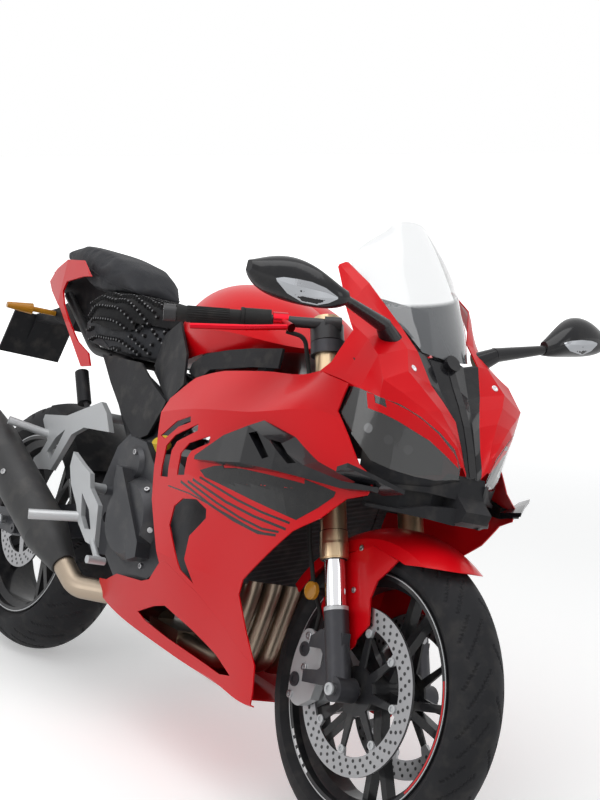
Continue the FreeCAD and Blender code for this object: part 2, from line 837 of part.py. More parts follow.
STAND_ROOT = Vector(440, 116, 306)
foot_y = 296.0
foot_rest = Vector(505, foot_y, ground_height(foot_y) + 1.2)
foot_high = foot_rest + ground_up * 8
leg_end = foot_high + ground_up * 6
folded_end = Vector(152, 158, 284)
parked_way = (leg_end - STAND_ROOT).normalize()
folded_way = (folded_end - STAND_ROOT).normalize()
stand_axis = folded_way.cross(parked_way).normalize()


def stand_point(along):
    """A point of the stand's pivot line; positive is inwards and down."""
    return STAND_ROOT + stand_axis * along


stand_lug = rod("stand_lug", stand_point(-36), stand_point(-13), "Sizes.axle_radius + 6")
stand_web = slab("stand_web", [(420, 352), (470, 352), (458, 330), (430, 330)], 112, 131)
lug_bore = rod("lug_bore", stand_point(-40), stand_point(-8), "Sizes.axle_radius - 3 + Sizes.running_clearance")
frame_pieces = [spar_left, spar_right, head_tube, cross_low, cross_high, stand_lug, stand_web]
right_rests = [mirrored(rest.Name + "_right", rest) for rest in tank_rests]
frame_pieces += tank_rests + right_rests
frame_solid = fuse("frame_solid", frame_pieces)
frame_solid.Refine = False
add_node("main_frame", [cut("main_frame", frame_solid, [head_bore, pivot_hole, lug_bore])])

rail_route = [Vector(600, 100, 712), Vector(300, 66, 786), Vector(100, 50, 788), Vector(-95, 50, 908)]
rail = bent_tube("rail_left", rail_route, 12.0, 120.0)
stay = rod("stay_left", Vector(470, 98, 596), Vector(220, 66, 783), "Sizes.bar_radius")
rails = [rail, stay, mirrored("rail_right", rail), mirrored("stay_right", stay)]
bridge_mid = rod("bridge_mid", Vector(300, -66, 784), Vector(300, 66, 784), "Sizes.bar_radius - 1")
bridge_rear = rod("bridge_rear", Vector(40, -50, 822), Vector(40, 50, 822), "Sizes.bar_radius - 1")
subframe_solid = fuse("subframe_solid", rails + [bridge_mid, bridge_rear])
frame_grip = fuse("frame_grip", [spar_left, spar_right, cross_high])
add_node("subframe", [cut("subframe", subframe_solid, [frame_grip])])

half_width = size.engine_half_width
crankcase = slab(
    "crankcase",
    [
        (542, 480),
        (600, 565),
        (650, 606),
        (720, 618),
        (900, 560),
        (948, 500),
        (945, 370),
        (900, 315),
        (760, 300),
        (600, 312),
        (542, 350),
    ],
    -half_width,
    half_width,
)
cylinders = slab("cylinders", [(700, 600), (780, 745), (880, 775), (985, 700), (965, 560), (900, 500)], -78, 78)
ribs = []
for number in range(5):
    low = 545 + number * 14
    ribs.append(slab(f"fin_{number}", [(730, low + 52), (972, low - 40), (972, low - 34), (732, low + 58)], -83, 83))
sump = slab("sump", [(630, 320), (870, 320), (840, 262), (660, 262)], -14, 72)
frame_mounts = rod("frame_mounts", Vector(800, -92.9, 742), Vector(800, 92.9, 742), "Sizes.hub_radius / 2 - 3")
cap_seat = Vector(677, -150, 624)
cap_way = Vector(0, -25, 32).normalize()
cap_boss = rod("cap_boss", cap_seat - cap_way * 42, cap_seat, "Sizes.hub_radius / 2 - 2")
drive_centre = Vector(565, 0, 436)
drive_radius = 36.0
chain_pocket = slab("chain_pocket", [(530, 372), (630, 372), (630, 500), (530, 500)], 80, half_width + 10)
case = cut("case", fuse("case_solid", [crankcase, cylinders, sump, frame_mounts, cap_boss] + ribs), [chain_pocket])
drive_hub = drive_centre + Vector(0, size.chain_offset, 0)
drive_disc = rod("drive_sprocket", drive_hub - Vector(0, 3, 0), drive_hub + Vector(0, 3, 0), "Sizes.hub_radius + 1.8")
drive_shaft = rod("drive_shaft", drive_hub - Vector(0, 20, 0), drive_hub + Vector(0, 14, 0), "Sizes.axle_radius + 3")
add_node("engine_block", [fuse("engine_block", [case, drive_disc, drive_shaft])])

cover_outline = [
    (528, 600),
    (565, 628),
    (628, 626),
    (680, 586),
    (735, 520),
    (800, 440),
    (805, 380),
    (758, 346),
    (685, 340),
    (615, 366),
    (560, 440),
    (530, 520),
]
cover_plate = slab("cover_plate", cover_outline, -half_width - 16, -half_width)
clutch_centre = Vector(655, -half_width - 10, 455)
clutch_dome = cone("clutch_dome", clutch_centre, clutch_centre - Vector(0, 34, 0), 98, 78)
upper_dome = cone(
    "upper_dome", Vector(600, -half_width - 10, 570), Vector(600, -half_width - 26, 570), 46, 36
)
blade_rib = slab("cover_rib", [(585, 560), (612, 560), (742, 420), (748, 388), (718, 374), (698, 396), (650, 450)],
                 -half_width - 52, -half_width - 12)
right_cover = fuse("right_cover", [cover_plate, clutch_dome, upper_dome, blade_rib])
left_centre = Vector(760, half_width, 440)
left_cover = fuse(
    "left_cover",
    [
        cone("alternator_dome", left_centre, left_centre + Vector(0, 40, 0), 92, 76),
        cone("sprocket_cover", Vector(575, half_width, 440), Vector(575, half_width + 18, 440), 74, 66),
    ],
)
add_node("engine_covers", [right_cover, left_cover])
add_node("oil_filler_cap", [rod("oil_filler_cap", cap_seat + cap_way * 0.2, cap_seat + cap_way * 22, "Sizes.hub_radius / 2 + 2")])

RADIATOR_LOW = (1072, 425)
RADIATOR_HIGH = (1114, 674)
thick = size.radiator_thickness
radiator_core = slab(
    "radiator_core",
    [
        RADIATOR_LOW,
        RADIATOR_HIGH,
        (RADIATOR_HIGH[0] - thick, RADIATOR_HIGH[1] + 8),
        (RADIATOR_LOW[0] - thick, RADIATOR_LOW[1] + 8),
    ],
    -size.radiator_half_width,
    size.radiator_half_width,
)
tank_left = slab(
    "radiator_tank",
    [
        (RADIATOR_LOW[0] + 3, RADIATOR_LOW[1] - 6),
        (RADIATOR_HIGH[0] + 3, RADIATOR_HIGH[1] + 6),
        (RADIATOR_HIGH[0] - thick - 3, RADIATOR_HIGH[1] + 14),
        (RADIATOR_LOW[0] - thick - 3, RADIATOR_LOW[1] + 2),
    ],
    size.radiator_half_width - 18,
    size.radiator_half_width + 4,
)
radiator_stay = rod("radiator_stay", Vector(1094, 46, 668), Vector(972, 46, 684), "Sizes.axle_radius - 3")
panel_stay = rod("panel_stay", Vector(1080, 150, 618), Vector(1080, 232.5, 618), "Sizes.bar_radius - 5")
panel_stays = [panel_stay, mirrored("panel_stay_right", panel_stay)]
radiator_pieces = [radiator_core, tank_left, mirrored("radiator_tank_right", tank_left)] + panel_stays
radiator_pieces += [radiator_stay, mirrored("radiator_stay_right", radiator_stay)]
add_node("radiator", [cut("radiator", fuse("radiator_solid", radiator_pieces), [cylinders])])

pipe = size.header_radius
headers = []
for number, y in enumerate((-69.0, -23.0, 23.0, 69.0)):
    port = Vector(972.5, y, 610)
    route = [
        port,
        port + Vector(0.99, 0, -0.141) * 47,
        Vector(1016, y * 1.1, 400),
        Vector(985, y * 1.05, 232),
        Vector(800, y * 0.9, 228),
    ]
    headers.append(bent_tube(f"header_{number}", route, pipe, 46.0))
merge = slab("merge_box", [(802, 250), (806, 207), (690, 224), (680, 252)], -84, 66)
can_start = Vector(400, -166, 290)
can_back = Vector(-60, -240, 570)
can_way = (can_back - can_start).normalize()
mid_route = [Vector(695, -50, 250), Vector(590, -76, 270), can_start - can_way * 70, can_start]
mid_pipe = bent_tube("mid_pipe", mid_route, size.collector_radius, 60.0)
add_node("exhaust_pipes", [fuse("exhaust_pipes", headers + [merge, mid_pipe])])

can_length = (can_back - can_start).Length
can_radius = size.silencer_radius
can_profile = [
    (0.2, size.collector_radius + 1),
    (0.2, size.collector_radius + 5),
    (105, can_radius),
    (can_length - 115, can_radius),
    (can_length, can_radius * 0.75),
    (can_length, can_radius * 0.56),
    (can_length - 5, can_radius * 0.56),
    (can_length - 5, can_radius * 0.75 - 4),
    (can_length - 115, can_radius - 4),
    (105, can_radius - 4),
]
silencer = new_body("silencer")
silencer.Placement = Placement(can_start, Rotation(Vector(0, 1, 0), can_way))
revolve(silencer, outline(can_profile))
add_node("silencer", [silencer])

# Fuel tank, seats and tail

TankSection = namedtuple("TankSection", "x top base base_half widest widest_z")
TANK = [
    TankSection(1020, 930, 902, 62, 80, 910),
    TankSection(960, 972, 892, 94, 120, 905),
    TankSection(860, 1006, 874, 124, 152, 906),
    TankSection(720, 1020, 848, 132, 154, 898),
    TankSection(610, 998, 818, 108, 128, 880),
    TankSection(552, 954, 806, 84, 100, 862),
    TankSection(524, 905, 804, 72, 82, 850),
]


def tank_wire(row):
    """Flat base, flared sides and a round top."""
    base_left = Vector(row.x, row.base_half, row.base)
    side_left = Vector(row.x, row.widest, row.widest_z)
    crown = Vector(row.x, 0, row.top)
    shoulder = Vector(row.x, row.widest * 0.76, row.widest_z + (row.top - row.widest_z) * 0.72)

    def other(point):
        return Vector(point.x, -point.y, point.z)

    return Part.Wire(
        [
            Part.LineSegment(other(base_left), base_left).toShape(),
            Part.LineSegment(base_left, side_left).toShape(),
            Part.Arc(side_left, shoulder, crown).toShape(),
            Part.Arc(crown, other(shoulder), other(side_left)).toShape(),
            Part.LineSegment(other(side_left), other(base_left)).toShape(),
        ]
    )


tank_shell = shape_piece("tank_shell", Part.makeLoft([tank_wire(row) for row in TANK], True, False))
cap_base = Vector(800, 0, 1000)
filler = rod("tank_filler", cap_base, cap_base + Vector(0, 0, 26), "Sizes.fork_outer_radius + 14")
tank_solid = fuse("tank_solid", [tank_shell, filler])
beam_cover_side = [
    (700, 800),
    (706, 822),
    (750, 849),
    (830, 868),
    (912, 883),
    (1022, 898),
    (1022, 856),
    (932, 846),
    (779, 818),
    (746, 790),
]
beam_boss = rod("beam_boss", Vector(915, 110, 862), Vector(915, 143, 862), "Sizes.bar_radius - 2")
beam_cover_left = fuse("beam_cover_left", [slab("beam_cover_plate", beam_cover_side, 141, 147), beam_boss])
beam_cover_right = mirrored("beam_cover_right", beam_cover_left)
tank_seats = tank_rests + right_rests + [beam_cover_left, beam_cover_right]
add_node("fuel_tank", [cut("fuel_tank", tank_solid, tank_seats)])

knee_outline = [(470, 792), (505, 868), (600, 905), (690, 838), (715, 772), (640, 724), (560, 752)]
knee_plan = [(460, 92), (520, 112), (620, 140), (720, 164), (720, 158), (620, 134), (520, 106), (460, 86)]
knee_left = common("knee_left", slab("knee_side", knee_outline, 60, 190), plan_slab("knee_plan", knee_plan, 700, 930))

cover_side = [(262, 786), (405, 790), (470, 792), (560, 752), (640, 724), (628, 700), (590, 640), (530, 616), (436, 664), (340, 726)]
cover_plan = [(250, 116), (420, 128), (650, 150), (650, 144), (420, 122), (250, 110)]
side_cover = common("side_cover", slab("side_cover_side", cover_side, 60, 190), plan_slab("side_cover_plan", cover_plan, 600, 820))
cover_stud = rod("cover_stud", Vector(600, 127, 680), Vector(600, 142, 680), "Sizes.bar_radius - 5")
cover_left = fuse("cover_left", [side_cover, cover_stud])
knee_right = mirrored("knee_right", knee_left)
cover_right = mirrored("cover_right", cover_left)
add_node("side_covers", [knee_left, knee_right, cover_left, cover_right, beam_cover_left, beam_cover_right])

SEAT_CROWN = 5.0
SeatSection = namedtuple("SeatSection", "x top base half shoulder")
RIDER_SEAT = [
    SeatSection(118, 872, 806, 106, 92),
    SeatSection(220, 898, 800, 126, 110),
    SeatSection(340, 904, 798, 130, 108),
    SeatSection(430, 898, 798, 108, 86),
    SeatSection(518, 880, 804, 72, 56),
]
PadSection = namedtuple("PadSection", "x half shoulder base")
SEAT_PAD = [
    PadSection(128, 112, 98, 852),
    PadSection(220, 138, 118, 842),
    PadSection(340, 142, 120, 838),
    PadSection(430, 112, 94, 858),
    PadSection(506, 74, 62, 872),
]
PILLION = [
    SeatSection(-170, 1030, 1000, 48, 34),
    SeatSection(-60, 1046, 975, 74, 56),
    SeatSection(60, 1040, 940, 92, 72),
    SeatSection(150, 1026, 934, 98, 74),
    SeatSection(210, 1006, 939.3, 90, 62),
    SeatSection(262, 962, 943.9, 72, 48),
]


def seat_loft(name, rows):
    """Upright sides, a crowned top and a flat base."""
    sections = []
    for row in rows:
        edge_height = row.top - (row.top - row.base) * 0.3
        left = Vector(row.x, row.half, edge_height)
        shoulder = Vector(row.x, row.shoulder, row.top - SEAT_CROWN)
        crown = Vector(row.x, 0, row.top)
        base = Vector(row.x, row.half - 4, row.base)

        def other(point):
            return Vector(point.x, -point.y, point.z)

        sections.append(
            Part.Wire(
                [
                    Part.LineSegment(other(base), base).toShape(),
                    Part.LineSegment(base, left).toShape(),
                    Part.LineSegment(left, shoulder).toShape(),
                    Part.Arc(shoulder, crown, other(shoulder)).toShape(),
                    Part.LineSegment(other(shoulder), other(left)).toShape(),
                    Part.LineSegment(other(left), other(base)).toShape(),
                ]
            )
        )
    return shape_piece(name, Part.makeLoft(sections, True, True))


def seat_top(x):
    """Height of the middle of the rider seat."""
    for rear, front in zip(RIDER_SEAT, RIDER_SEAT[1:]):
        if rear.x <= x <= front.x:
            return rear.top + (front.top - rear.top) * (x - rear.x) / (front.x - rear.x)


saddle = seat_loft("saddle", RIDER_SEAT)
add_node("rider_seat", [saddle], shared=True)
pad_rows = []
for row in SEAT_PAD:
    pad_rows.append(SeatSection(row.x, seat_top(row.x) + size.seat_pad_thickness, row.base, row.half, row.shoulder))
pad_block = seat_loft("pad_block", pad_rows)
add_node("seat_pad", [cut("seat_pad", pad_block, [saddle, knee_left, knee_right])])
add_node("pillion_seat", [seat_loft("pillion_seat", PILLION)])

tail_side = [
    (-196, 932),
    (-150, 968),
    (-60, 996),
    (60, 1000),
    (140, 962),
    (172, 905),
    (212, 800),
    (262, 752),
    (206, 744),
    (120, 792),
    (-30, 868),
    (-150, 908),
]
tail_window = [(-44, 914), (-31, 940), (84, 960), (190, 968), (300, 840), (240, 778), (150, 800), (50, 846), (-10, 880)]
tail_plan = [(280, 146), (120, 126), (-60, 96), (-210, 58), (-210, 53), (-60, 91), (120, 121), (280, 141)]
tail_panel = common("tail_panel", slab("tail_side", tail_side, 30, 160), plan_slab("tail_plan", tail_plan, 720, 1020))
tail_left = cut("tail_left", tail_panel, [slab("tail_window", tail_window, 20, 170)])
both_sides("tail_fairing", tail_left)
under_side = [(-190, 936), (-120, 968), (-60, 974.8), (60, 939.8), (105, 926), (100, 836), (-30, 872), (-150, 912)]
tray = slab("tray", under_side, -37.8, 37.8)
tray_wing = slab("tray_wing", [(-160, 922), (-120, 935), (-120, 955), (-160, 945)], -65.5, 65.5)
add_node("tail_undertray", [fuse("tail_undertray", [tray, tray_wing])])
lamp_side = [(-214, 958), (-150, 990), (-126, 986), (-126, 965.5), (-190, 936.3)]
add_node("tail_lamp", [slab("tail_lamp", lamp_side, -46, 46)])

carrier_side = [
    (-60, 881.8),
    (-110, 898.4),
    (-190, 866),
    (-300, 838),
    (-334, 760),
    (-322, 754),
    (-288, 820),
    (-180, 838),
    (-84, 820),
]
arm = slab("carrier_arm", carrier_side, -26, 26)
plate_face = slab("plate_face", [(-296, 838), (-340, 722), (-334, 720), (-290, 836)], -92, 92)
add_node("plate_carrier", [fuse("plate_carrier", [arm, plate_face])])
indicator_stalk = rod("indicator_stalk", Vector(-190, 27, 852), Vector(-204, 92, 850), "Sizes.bar_radius - 4")
indicator_body = cone("indicator_body", Vector(-204, 90, 850), Vector(-214, 158, 846), 15, 8)
both_sides("rear_indicators", fuse("indicator_left", [indicator_stalk, indicator_body]))

# Fairing

HullSection = namedtuple("HullSection", "x rim shoulder side waist corner keel")
HULL = [
    HullSection(470, (118, 640), (168, 600), (178, 540), (172, 420), (122, 282), (60, 268)),
    HullSection(560, (132, 700), (184, 650), (192, 560), (182, 420), (136, 252), (70, 236)),
    HullSection(700, (160, 770), (198, 700), (204, 580), (194, 420), (146, 232), (80, 212)),
    HullSection(850, (162, 822), (218, 730), (222, 600), (206, 420), (152, 222), (80, 194)),
    HullSection(1000, (154, 846), (226, 750), (234, 600), (206, 420), (158, 216), (80, 184)),
    HullSection(1120, (150, 858), (222, 770), (235, 620), (204, 420), (170, 214), (80, 180)),
    HullSection(1240, (200, 874), (212, 796), (230, 640), (208, 430), (182, 214), (80, 180)),
    HullSection(1350, (193, 862), (200, 786), (212, 660), (206, 520), (190, 300), (100, 250)),
    HullSection(1450, (140, 790), (158, 745), (186, 690), (190, 640), (170, 520), (120, 480)),
]


def inset(points, wall):
    """Each point of an open run moved square to it, towards the middle of the machine."""
    moved = []
    for index, point in enumerate(points):
        before = points[max(index - 1, 0)]
        after = points[min(index + 1, len(points) - 1)]
        along = (after[0] - before[0], after[1] - before[1])
        length = math.hypot(*along)
        moved.append((point[0] + along[1] / length * wall, point[1] - along[0] / length * wall))
    return moved


def ribbon(name, rows, wall, ruled=False):
    """A thin skin lofted along the machine through open runs of points."""
    sections = []
    for row in rows:
        run = list(row[1:])
        closed = run + inset(run, wall)[::-1]
        sections.append([Vector(row.x, y, z) for y, z in closed])
    return loft(name, sections, ruled)


hull = ribbon("hull", HULL, size.panel_wall)
fairing_side = [
    (702, 736),
    (745, 782),
    (779, 812),
    (1000, 845),
    (1166, 868),
    (1228, 872.2),
    (1300, 865.2),
    (1330, 861),
    (1318, 806),
    (1362, 765),
    (1402, 722),
    (1446, 700),
    (1440, 672),
    (1398, 655),
    (1350, 606),
    (1287, 566),
    (1205, 487),
    (1156, 440),
    (1148, 408),
    (1190, 345),
    (1236, 290),
    (1190, 300),
    (1000, 372),
    (866, 408),
    (842, 398),
    (768, 520),
    (758, 560),
    (746, 608),
    (722, 667),
]
belly_side = [
    (842, 397.8),
    (866, 407.8),
    (1000, 371.8),
    (1190, 299.8),
    (1236, 289.8),
    (1242, 240),
    (1236, 150),
    (640, 150),
    (575, 226),
    (528, 284),
    (528, 293),
    (573, 300),
    (632, 326),
    (758, 340),
    (795, 352),
]
vent = [
    (982, 388),
    (930, 404),
    (902, 438),
    (866, 484),
    (874, 526),
    (905, 548),
    (962, 558),
    (1004, 546),
    (1006, 528),
    (975, 500),
    (952, 480),
    (944, 430),
]
gill_rear = [(790, 574), (782, 640), (812, 668), (900, 705), (906, 692), (828, 656), (814, 634), (824, 578)]
gill_front = [(866, 590), (858, 636), (884, 662), (960, 690), (964, 676), (902, 648), (892, 632), (898, 596)]
gill_top = [(742, 656), (800, 696), (860, 716), (866, 704), (816, 686), (766, 652)]
belly_opening = [
    (742, 270),
    (816, 300),
    (868, 314),
    (980, 294),
    (1086, 270),
    (1150, 246),
    (1104, 236),
    (1006, 241),
    (883, 248),
    (776, 259),
]
WingSection = namedtuple("WingSection", "x root_y root_low root_high tip_y tip_low tip_high")
WING = [
    WingSection(945, 232, 634, 646, 244, 636, 644),
    WingSection(1040, 230, 642, 712, 252, 648, 702),
    WingSection(1130, 228, 652, 752, 262, 662, 736),
    WingSection(1230, 220, 664, 738, 258, 668, 714),
    WingSection(1310, 210, 668, 708, 246, 671, 694),
    WingSection(1400, 190, 670, 694, 222, 672, 686),
    WingSection(1452, 174, 680, 692, 190, 682, 690),
]
wing_blade = loft(
    "wing_blade",
    [
        [
            Vector(row.x, row.root_y, row.root_low),
            Vector(row.x, row.tip_y, row.tip_low),
            Vector(row.x, row.tip_y, row.tip_high),
            Vector(row.x, row.root_y, row.root_high),
        ]
        for row in WING
    ],
    ruled=True,
)
wing_ducts = [
    slab("wing_duct_rear", [(1136, 722), (1160, 730), (1214, 690), (1196, 682)], 240, 275),
    slab("wing_duct_front", [(1202, 722), (1226, 722), (1290, 694), (1268, 688)], 236, 275),
]
WingTip = namedtuple("WingTip", "y rear front")
WING_TIP = [
    WingTip(150, (1440, 676), (1496, 690)),
    WingTip(196, (1418, 688), (1456, 704)),
    WingTip(236, (1396, 700), (1424, 714)),
]
wing_tip = loft(
    "wing_tip",
    [
        [
            Vector(row.rear[0], row.y, row.rear[1]),
            Vector(row.front[0], row.y, row.front[1]),
            Vector(row.front[0], row.y, row.front[1] + 8),
            Vector(row.rear[0], row.y, row.rear[1] + 10),
        ]
        for row in WING_TIP
    ],
    ruled=True,
)
wing_left = cut("wing_left", wing_blade, wing_ducts)
add_node("winglets", [wing_left, mirrored("wing_right", wing_left), wing_tip, mirrored("wing_tip_right", wing_tip)])

wheel_bay_plan = [(1060, 104), (1095, 148), (1150, 168), (1400, 176)]
wheel_bay_right = [(x, -y) for x, y in wheel_bay_plan]
wheel_bay = plan_slab("wheel_bay", wheel_bay_right + wheel_bay_plan[::-1], 100, 420)
fairing_panel = common("fairing_panel", hull, slab("fairing_side", fairing_side, 40, 300))
openings = [
    slab("vent", vent, 120, 300),
    slab("gill_rear", gill_rear, 120, 300),
    slab("gill_front", gill_front, 120, 300),
    slab("gill_top", gill_top, 120, 300),
]
left_fairing = cut("left_fairing", fairing_panel, openings + [wing_left, wing_tip, panel_stay])
both_sides("side_fairings", left_fairing)

belly_skin = common("belly_skin", hull, slab("belly_side", belly_side, 40, 300))
belly_half = cut("belly_half", belly_skin, [slab("belly_opening", belly_opening, 120, 300), wheel_bay])
keel_floor = loft(
    "keel_floor",
    [
        [Vector(row.x, -81, row.keel[1]), Vector(row.x, 81, row.keel[1]), Vector(row.x, 81, row.keel[1] + 3), Vector(row.x, -81, row.keel[1] + 3)]
        for row in HULL
        if 560 <= row.x <= 1120
    ],
)
floor = cut("belly_floor", keel_floor, [plan_slab("floor_bay", [(1075, -96), (1400, -150), (1400, 150), (1075, 96)], 100, 420)])
pipe_room = bent_tube("pipe_room", mid_route, size.collector_radius + 5, 60.0)
belly_solid = fuse("belly_solid", [belly_half, mirrored("belly_half_right", belly_half), floor])
add_node("belly_pan", [cut("belly_pan", belly_solid, [pipe_room])])

NoseSection = namedtuple("NoseSection", "x ridge trough edge crown corner lamp_top lamp_low lip")
NOSE = [
    NoseSection(1158, (130, 1092), (138, 1093), (146, 1092), (160, 1084), (184, 1010), (198, 884), (204, 806), (200, 720)),
    NoseSection(1230, (118, 1058), (126, 1060), (134, 1060), (147, 1042), (173, 985), (201, 873), (206, 800), (202, 710)),
    NoseSection(1300, (72, 992), (80, 992), (88, 991), (108, 987), (160, 953), (198, 866), (203, 792), (200, 700)),
    NoseSection(1356, (6, 950), (44, 940), (80, 951), (106, 951), (172, 926), (195, 858), (190, 772), (186, 694)),
    NoseSection(1398, (6, 898), (36, 886), (64, 895), (126, 910), (180, 884), (178, 851), (164, 733), (156, 694)),
    NoseSection(1425, (6, 868), (28, 858), (47, 868), (104, 884), (148, 868), (150, 847), (136, 726), (128, 696)),
    NoseSection(1453, (6, 832), (20, 823), (31, 838), (74, 852), (108, 846), (120, 834), (100, 723), (94, 698)),
    NoseSection(1477, (6, 792), (16, 784), (25, 795), (50, 814), (74, 819), (84, 813), (68, 725), (62, 700)),
    NoseSection(1494, (6, 759), (14, 753), (23, 765), (36, 783), (47, 792), (54, 789), (44, 733), (38, 712)),
    NoseSection(1502, (6, 744), (12, 741), (19, 749), (25, 756), (31, 762), (38, 760), (34, 736), (30, 722)),
]
nose_skin = ribbon("nose_skin", NOSE, size.panel_wall, ruled=True)
lamp_top_line = [(row.lamp_top[0], row.lamp_top[1]) for row in NOSE[1:]]
lamp_low_line = [(190, 772), (164, 733), (136, 726), (100, 723), (68, 725), (44, 733), (34, 736), (18, 741)]
spine_line = [(18, 741), (23, 765), (25, 795), (31, 838), (47, 868), (64, 895), (80, 951)]
cockpit_line = [(88, 991), (134, 1060), (142, 1110)]
panel_front = [(240, 1110), (240, 880)] + lamp_top_line + spine_line + cockpit_line
nose_side = [(1158, 1110), (1158, 1078), (1220, 1004), (1262, 962), (1250, 893), (1232, 872), (1232, 700), (1560, 700), (1560, 1110)]
nose_panel = common("nose_panel", nose_skin, front_slab("panel_front", panel_front, 1100, 1560))
nose_left = common("nose_left", nose_panel, slab("nose_side", nose_side, 2, 300))
lamp_front = lamp_top_line[2:] + lamp_low_line[:-1][::-1] + [(240, 772), (240, 862)]
lamp_side = [(1319, 806), (1331, 861), (1331, 880), (1520, 880), (1520, 700), (1403, 700), (1403, 722.5), (1363, 765.5)]
lamp_face = common("lamp_face", nose_skin, front_slab("lamp_front", lamp_front, 1100, 1560))
both_sides("headlamps", common("lamp_left", lamp_face, slab("lamp_side", lamp_side, 2, 300)))

spine_front = spine_line + [(-spine_line[-1][0], spine_line[-1][1])] + [(-y, z) for y, z in spine_line[-2::-1]]
spine_half = common("spine_half", nose_skin, front_slab("spine_front", spine_front, 1352, 1560))
bridge_points = [
    (1356, 952),
    (1398, 900),
    (1425, 870),
    (1453, 834),
    (1477, 794),
    (1494, 761),
    (1502, 746),
    (1497, 738),
    (1470, 788),
    (1446, 826),
    (1418, 860),
    (1390, 888),
    (1350, 938),
]
nose_ridge = slab("nose_ridge", bridge_points, -9, 9)
round_lens = rod("round_lens", Vector(1352, 0, 930), Vector(1374, 0, 946), "Sizes.bar_radius + 6")
spine_solid = fuse("spine_solid", [spine_half, mirrored("spine_half_right", spine_half), nose_ridge, round_lens])

LipSection = namedtuple("LipSection", "x y low high")
UPPER_LIP = [
    LipSection(1400, 164, 688, 694),
    LipSection(1436, 122, 694, 701),
    LipSection(1476, 76, 700, 711),
    LipSection(1503, 40, 700, 731),
    LipSection(1508, 30, 700, 733),
]
LOWER_LIP = [
    LipSection(1396, 150, 648, 654),
    LipSection(1453, 115, 652, 659),
    LipSection(1482, 76, 653, 676),
    LipSection(1510, 40, 652, 683),
    LipSection(1516, 30, 652, 684),
]
LIP_DEPTH = Vector(-24, -8, 0)


def lip(name, rows):
    """A blade round the mouth of the intake, from its outer end to the chin."""
    sections = []
    for row in rows:
        low = Vector(row.x, row.y, row.low)
        high = Vector(row.x, row.y, row.high)
        sections.append([low, high, high + LIP_DEPTH, low + LIP_DEPTH])
    return loft(name, sections, ruled=True)


band_front = lamp_low_line + [(18, 690), (240, 690), (240, 771.8)]
chin_band = common("chin_band", nose_skin, front_slab("band_front", band_front, 1380, 1560))
chin_side = [(1500, 744), (1509, 706), (1540, 684), (1534, 664), (1505, 652), (1440, 650), (1430, 700), (1468, 742)]
chin = slab("chin", chin_side, -33, 33)
duct_plan = [(1340, 0), (1350, 120), (1380, 144), (1432, 104), (1470, 60), (1480, 0)]
duct_outline = duct_plan + [(x, -y) for x, y in duct_plan[-2:0:-1]]
duct = plan_slab("intake_duct", duct_outline, 652, 702)
mouth_left = fuse("mouth_left", [chin_band, lip("upper_lip", UPPER_LIP), lip("lower_lip", LOWER_LIP)])
intake_solid = fuse("intake_solid", [mouth_left, mirrored("mouth_right", mouth_left), chin, duct])
intake_solid.Refine = False

# Windscreen, mirrors, winglets and cockpit

ScreenSection = namedtuple("ScreenSection", "middle edge")
SCREEN = [
    ScreenSection((1364, 948), (1346, 60, 952)),
    ScreenSection((1334, 1002), (1297, 88, 993)),
    ScreenSection((1306, 1040), (1262, 104, 1022)),
    ScreenSection((1272, 1086), (1214, 119, 1058)),
    ScreenSection((1236, 1128), (1164, 135, 1094)),
    ScreenSection((1200, 1168), (1152, 102, 1142)),
    ScreenSection((1164, 1206), (1150, 52, 1190)),
]


def screen_wire(row):
    """Bubble section: an outer arc from edge to edge and an inner one a wall behind it."""
    middle = Vector(row.middle[0], 0, row.middle[1])
    left = Vector(*row.edge)
    right = Vector(row.edge[0], -row.edge[1], row.edge[2])
    back = Vector(left.x - middle.x, 0, left.z - middle.z).normalize() * size.screen_wall
    return Part.Wire(
        [
            Part.Arc(left, middle, right).toShape(),
            Part.LineSegment(right, right + back).toShape(),
            Part.Arc(right + back, middle + back, left + back).toShape(),
            Part.LineSegment(left + back, left).toShape(),
        ]
    )


screen = shape_piece("screen", Part.makeLoft([screen_wire(row) for row in SCREEN], True, False))
add_node("windscreen", [screen], shared=True)

panel = slab("panel", [(1196, 948), (1214, 958), (1170, 1040), (1150, 1030)], -82, 82)
panel_stay = slab("panel_stay", [(1206, 952), (1290, 900), (1300, 908), (1216, 966)], -30, 30)
stay_arm = rod("nose_stay_left", Vector(1296, 28, 904), Vector(1150, 28, 812), "Sizes.bar_radius - 3")
nose_cross = rod("nose_cross", Vector(1296, -180, 904), Vector(1296, 180, 904), "Sizes.bar_radius - 4")
nose_stay_solid = fuse("nose_stay_solid", [stay_arm, mirrored("nose_stay_right", stay_arm), nose_cross])
nose_stay = cut("nose_stay", nose_stay_solid, [head_tube])
instruments = fuse("instruments", [panel, panel_stay])
add_node("instrument_panel", [cut("instrument_panel", instruments, [nose_stay_solid])])

MirrorSection = namedtuple("MirrorSection", "y x z deep tall")
MIRRORS = {
    "right": [
        MirrorSection(-274, 1352, 1012, 24, 22),
        MirrorSection(-302, 1341, 1012, 42, 46),
        MirrorSection(-345, 1304, 1021, 54, 76),
        MirrorSection(-400, 1278, 1021, 48, 58),
        MirrorSection(-440, 1268, 1027, 18, 18),
    ],
    "left": [
        MirrorSection(274, 1322, 1022, 24, 22),
        MirrorSection(302, 1330, 1040, 42, 54),
        MirrorSection(350, 1328, 1060, 54, 80),
        MirrorSection(402, 1324, 1064, 48, 60),
        MirrorSection(446, 1318, 1066, 18, 18),
    ],
}


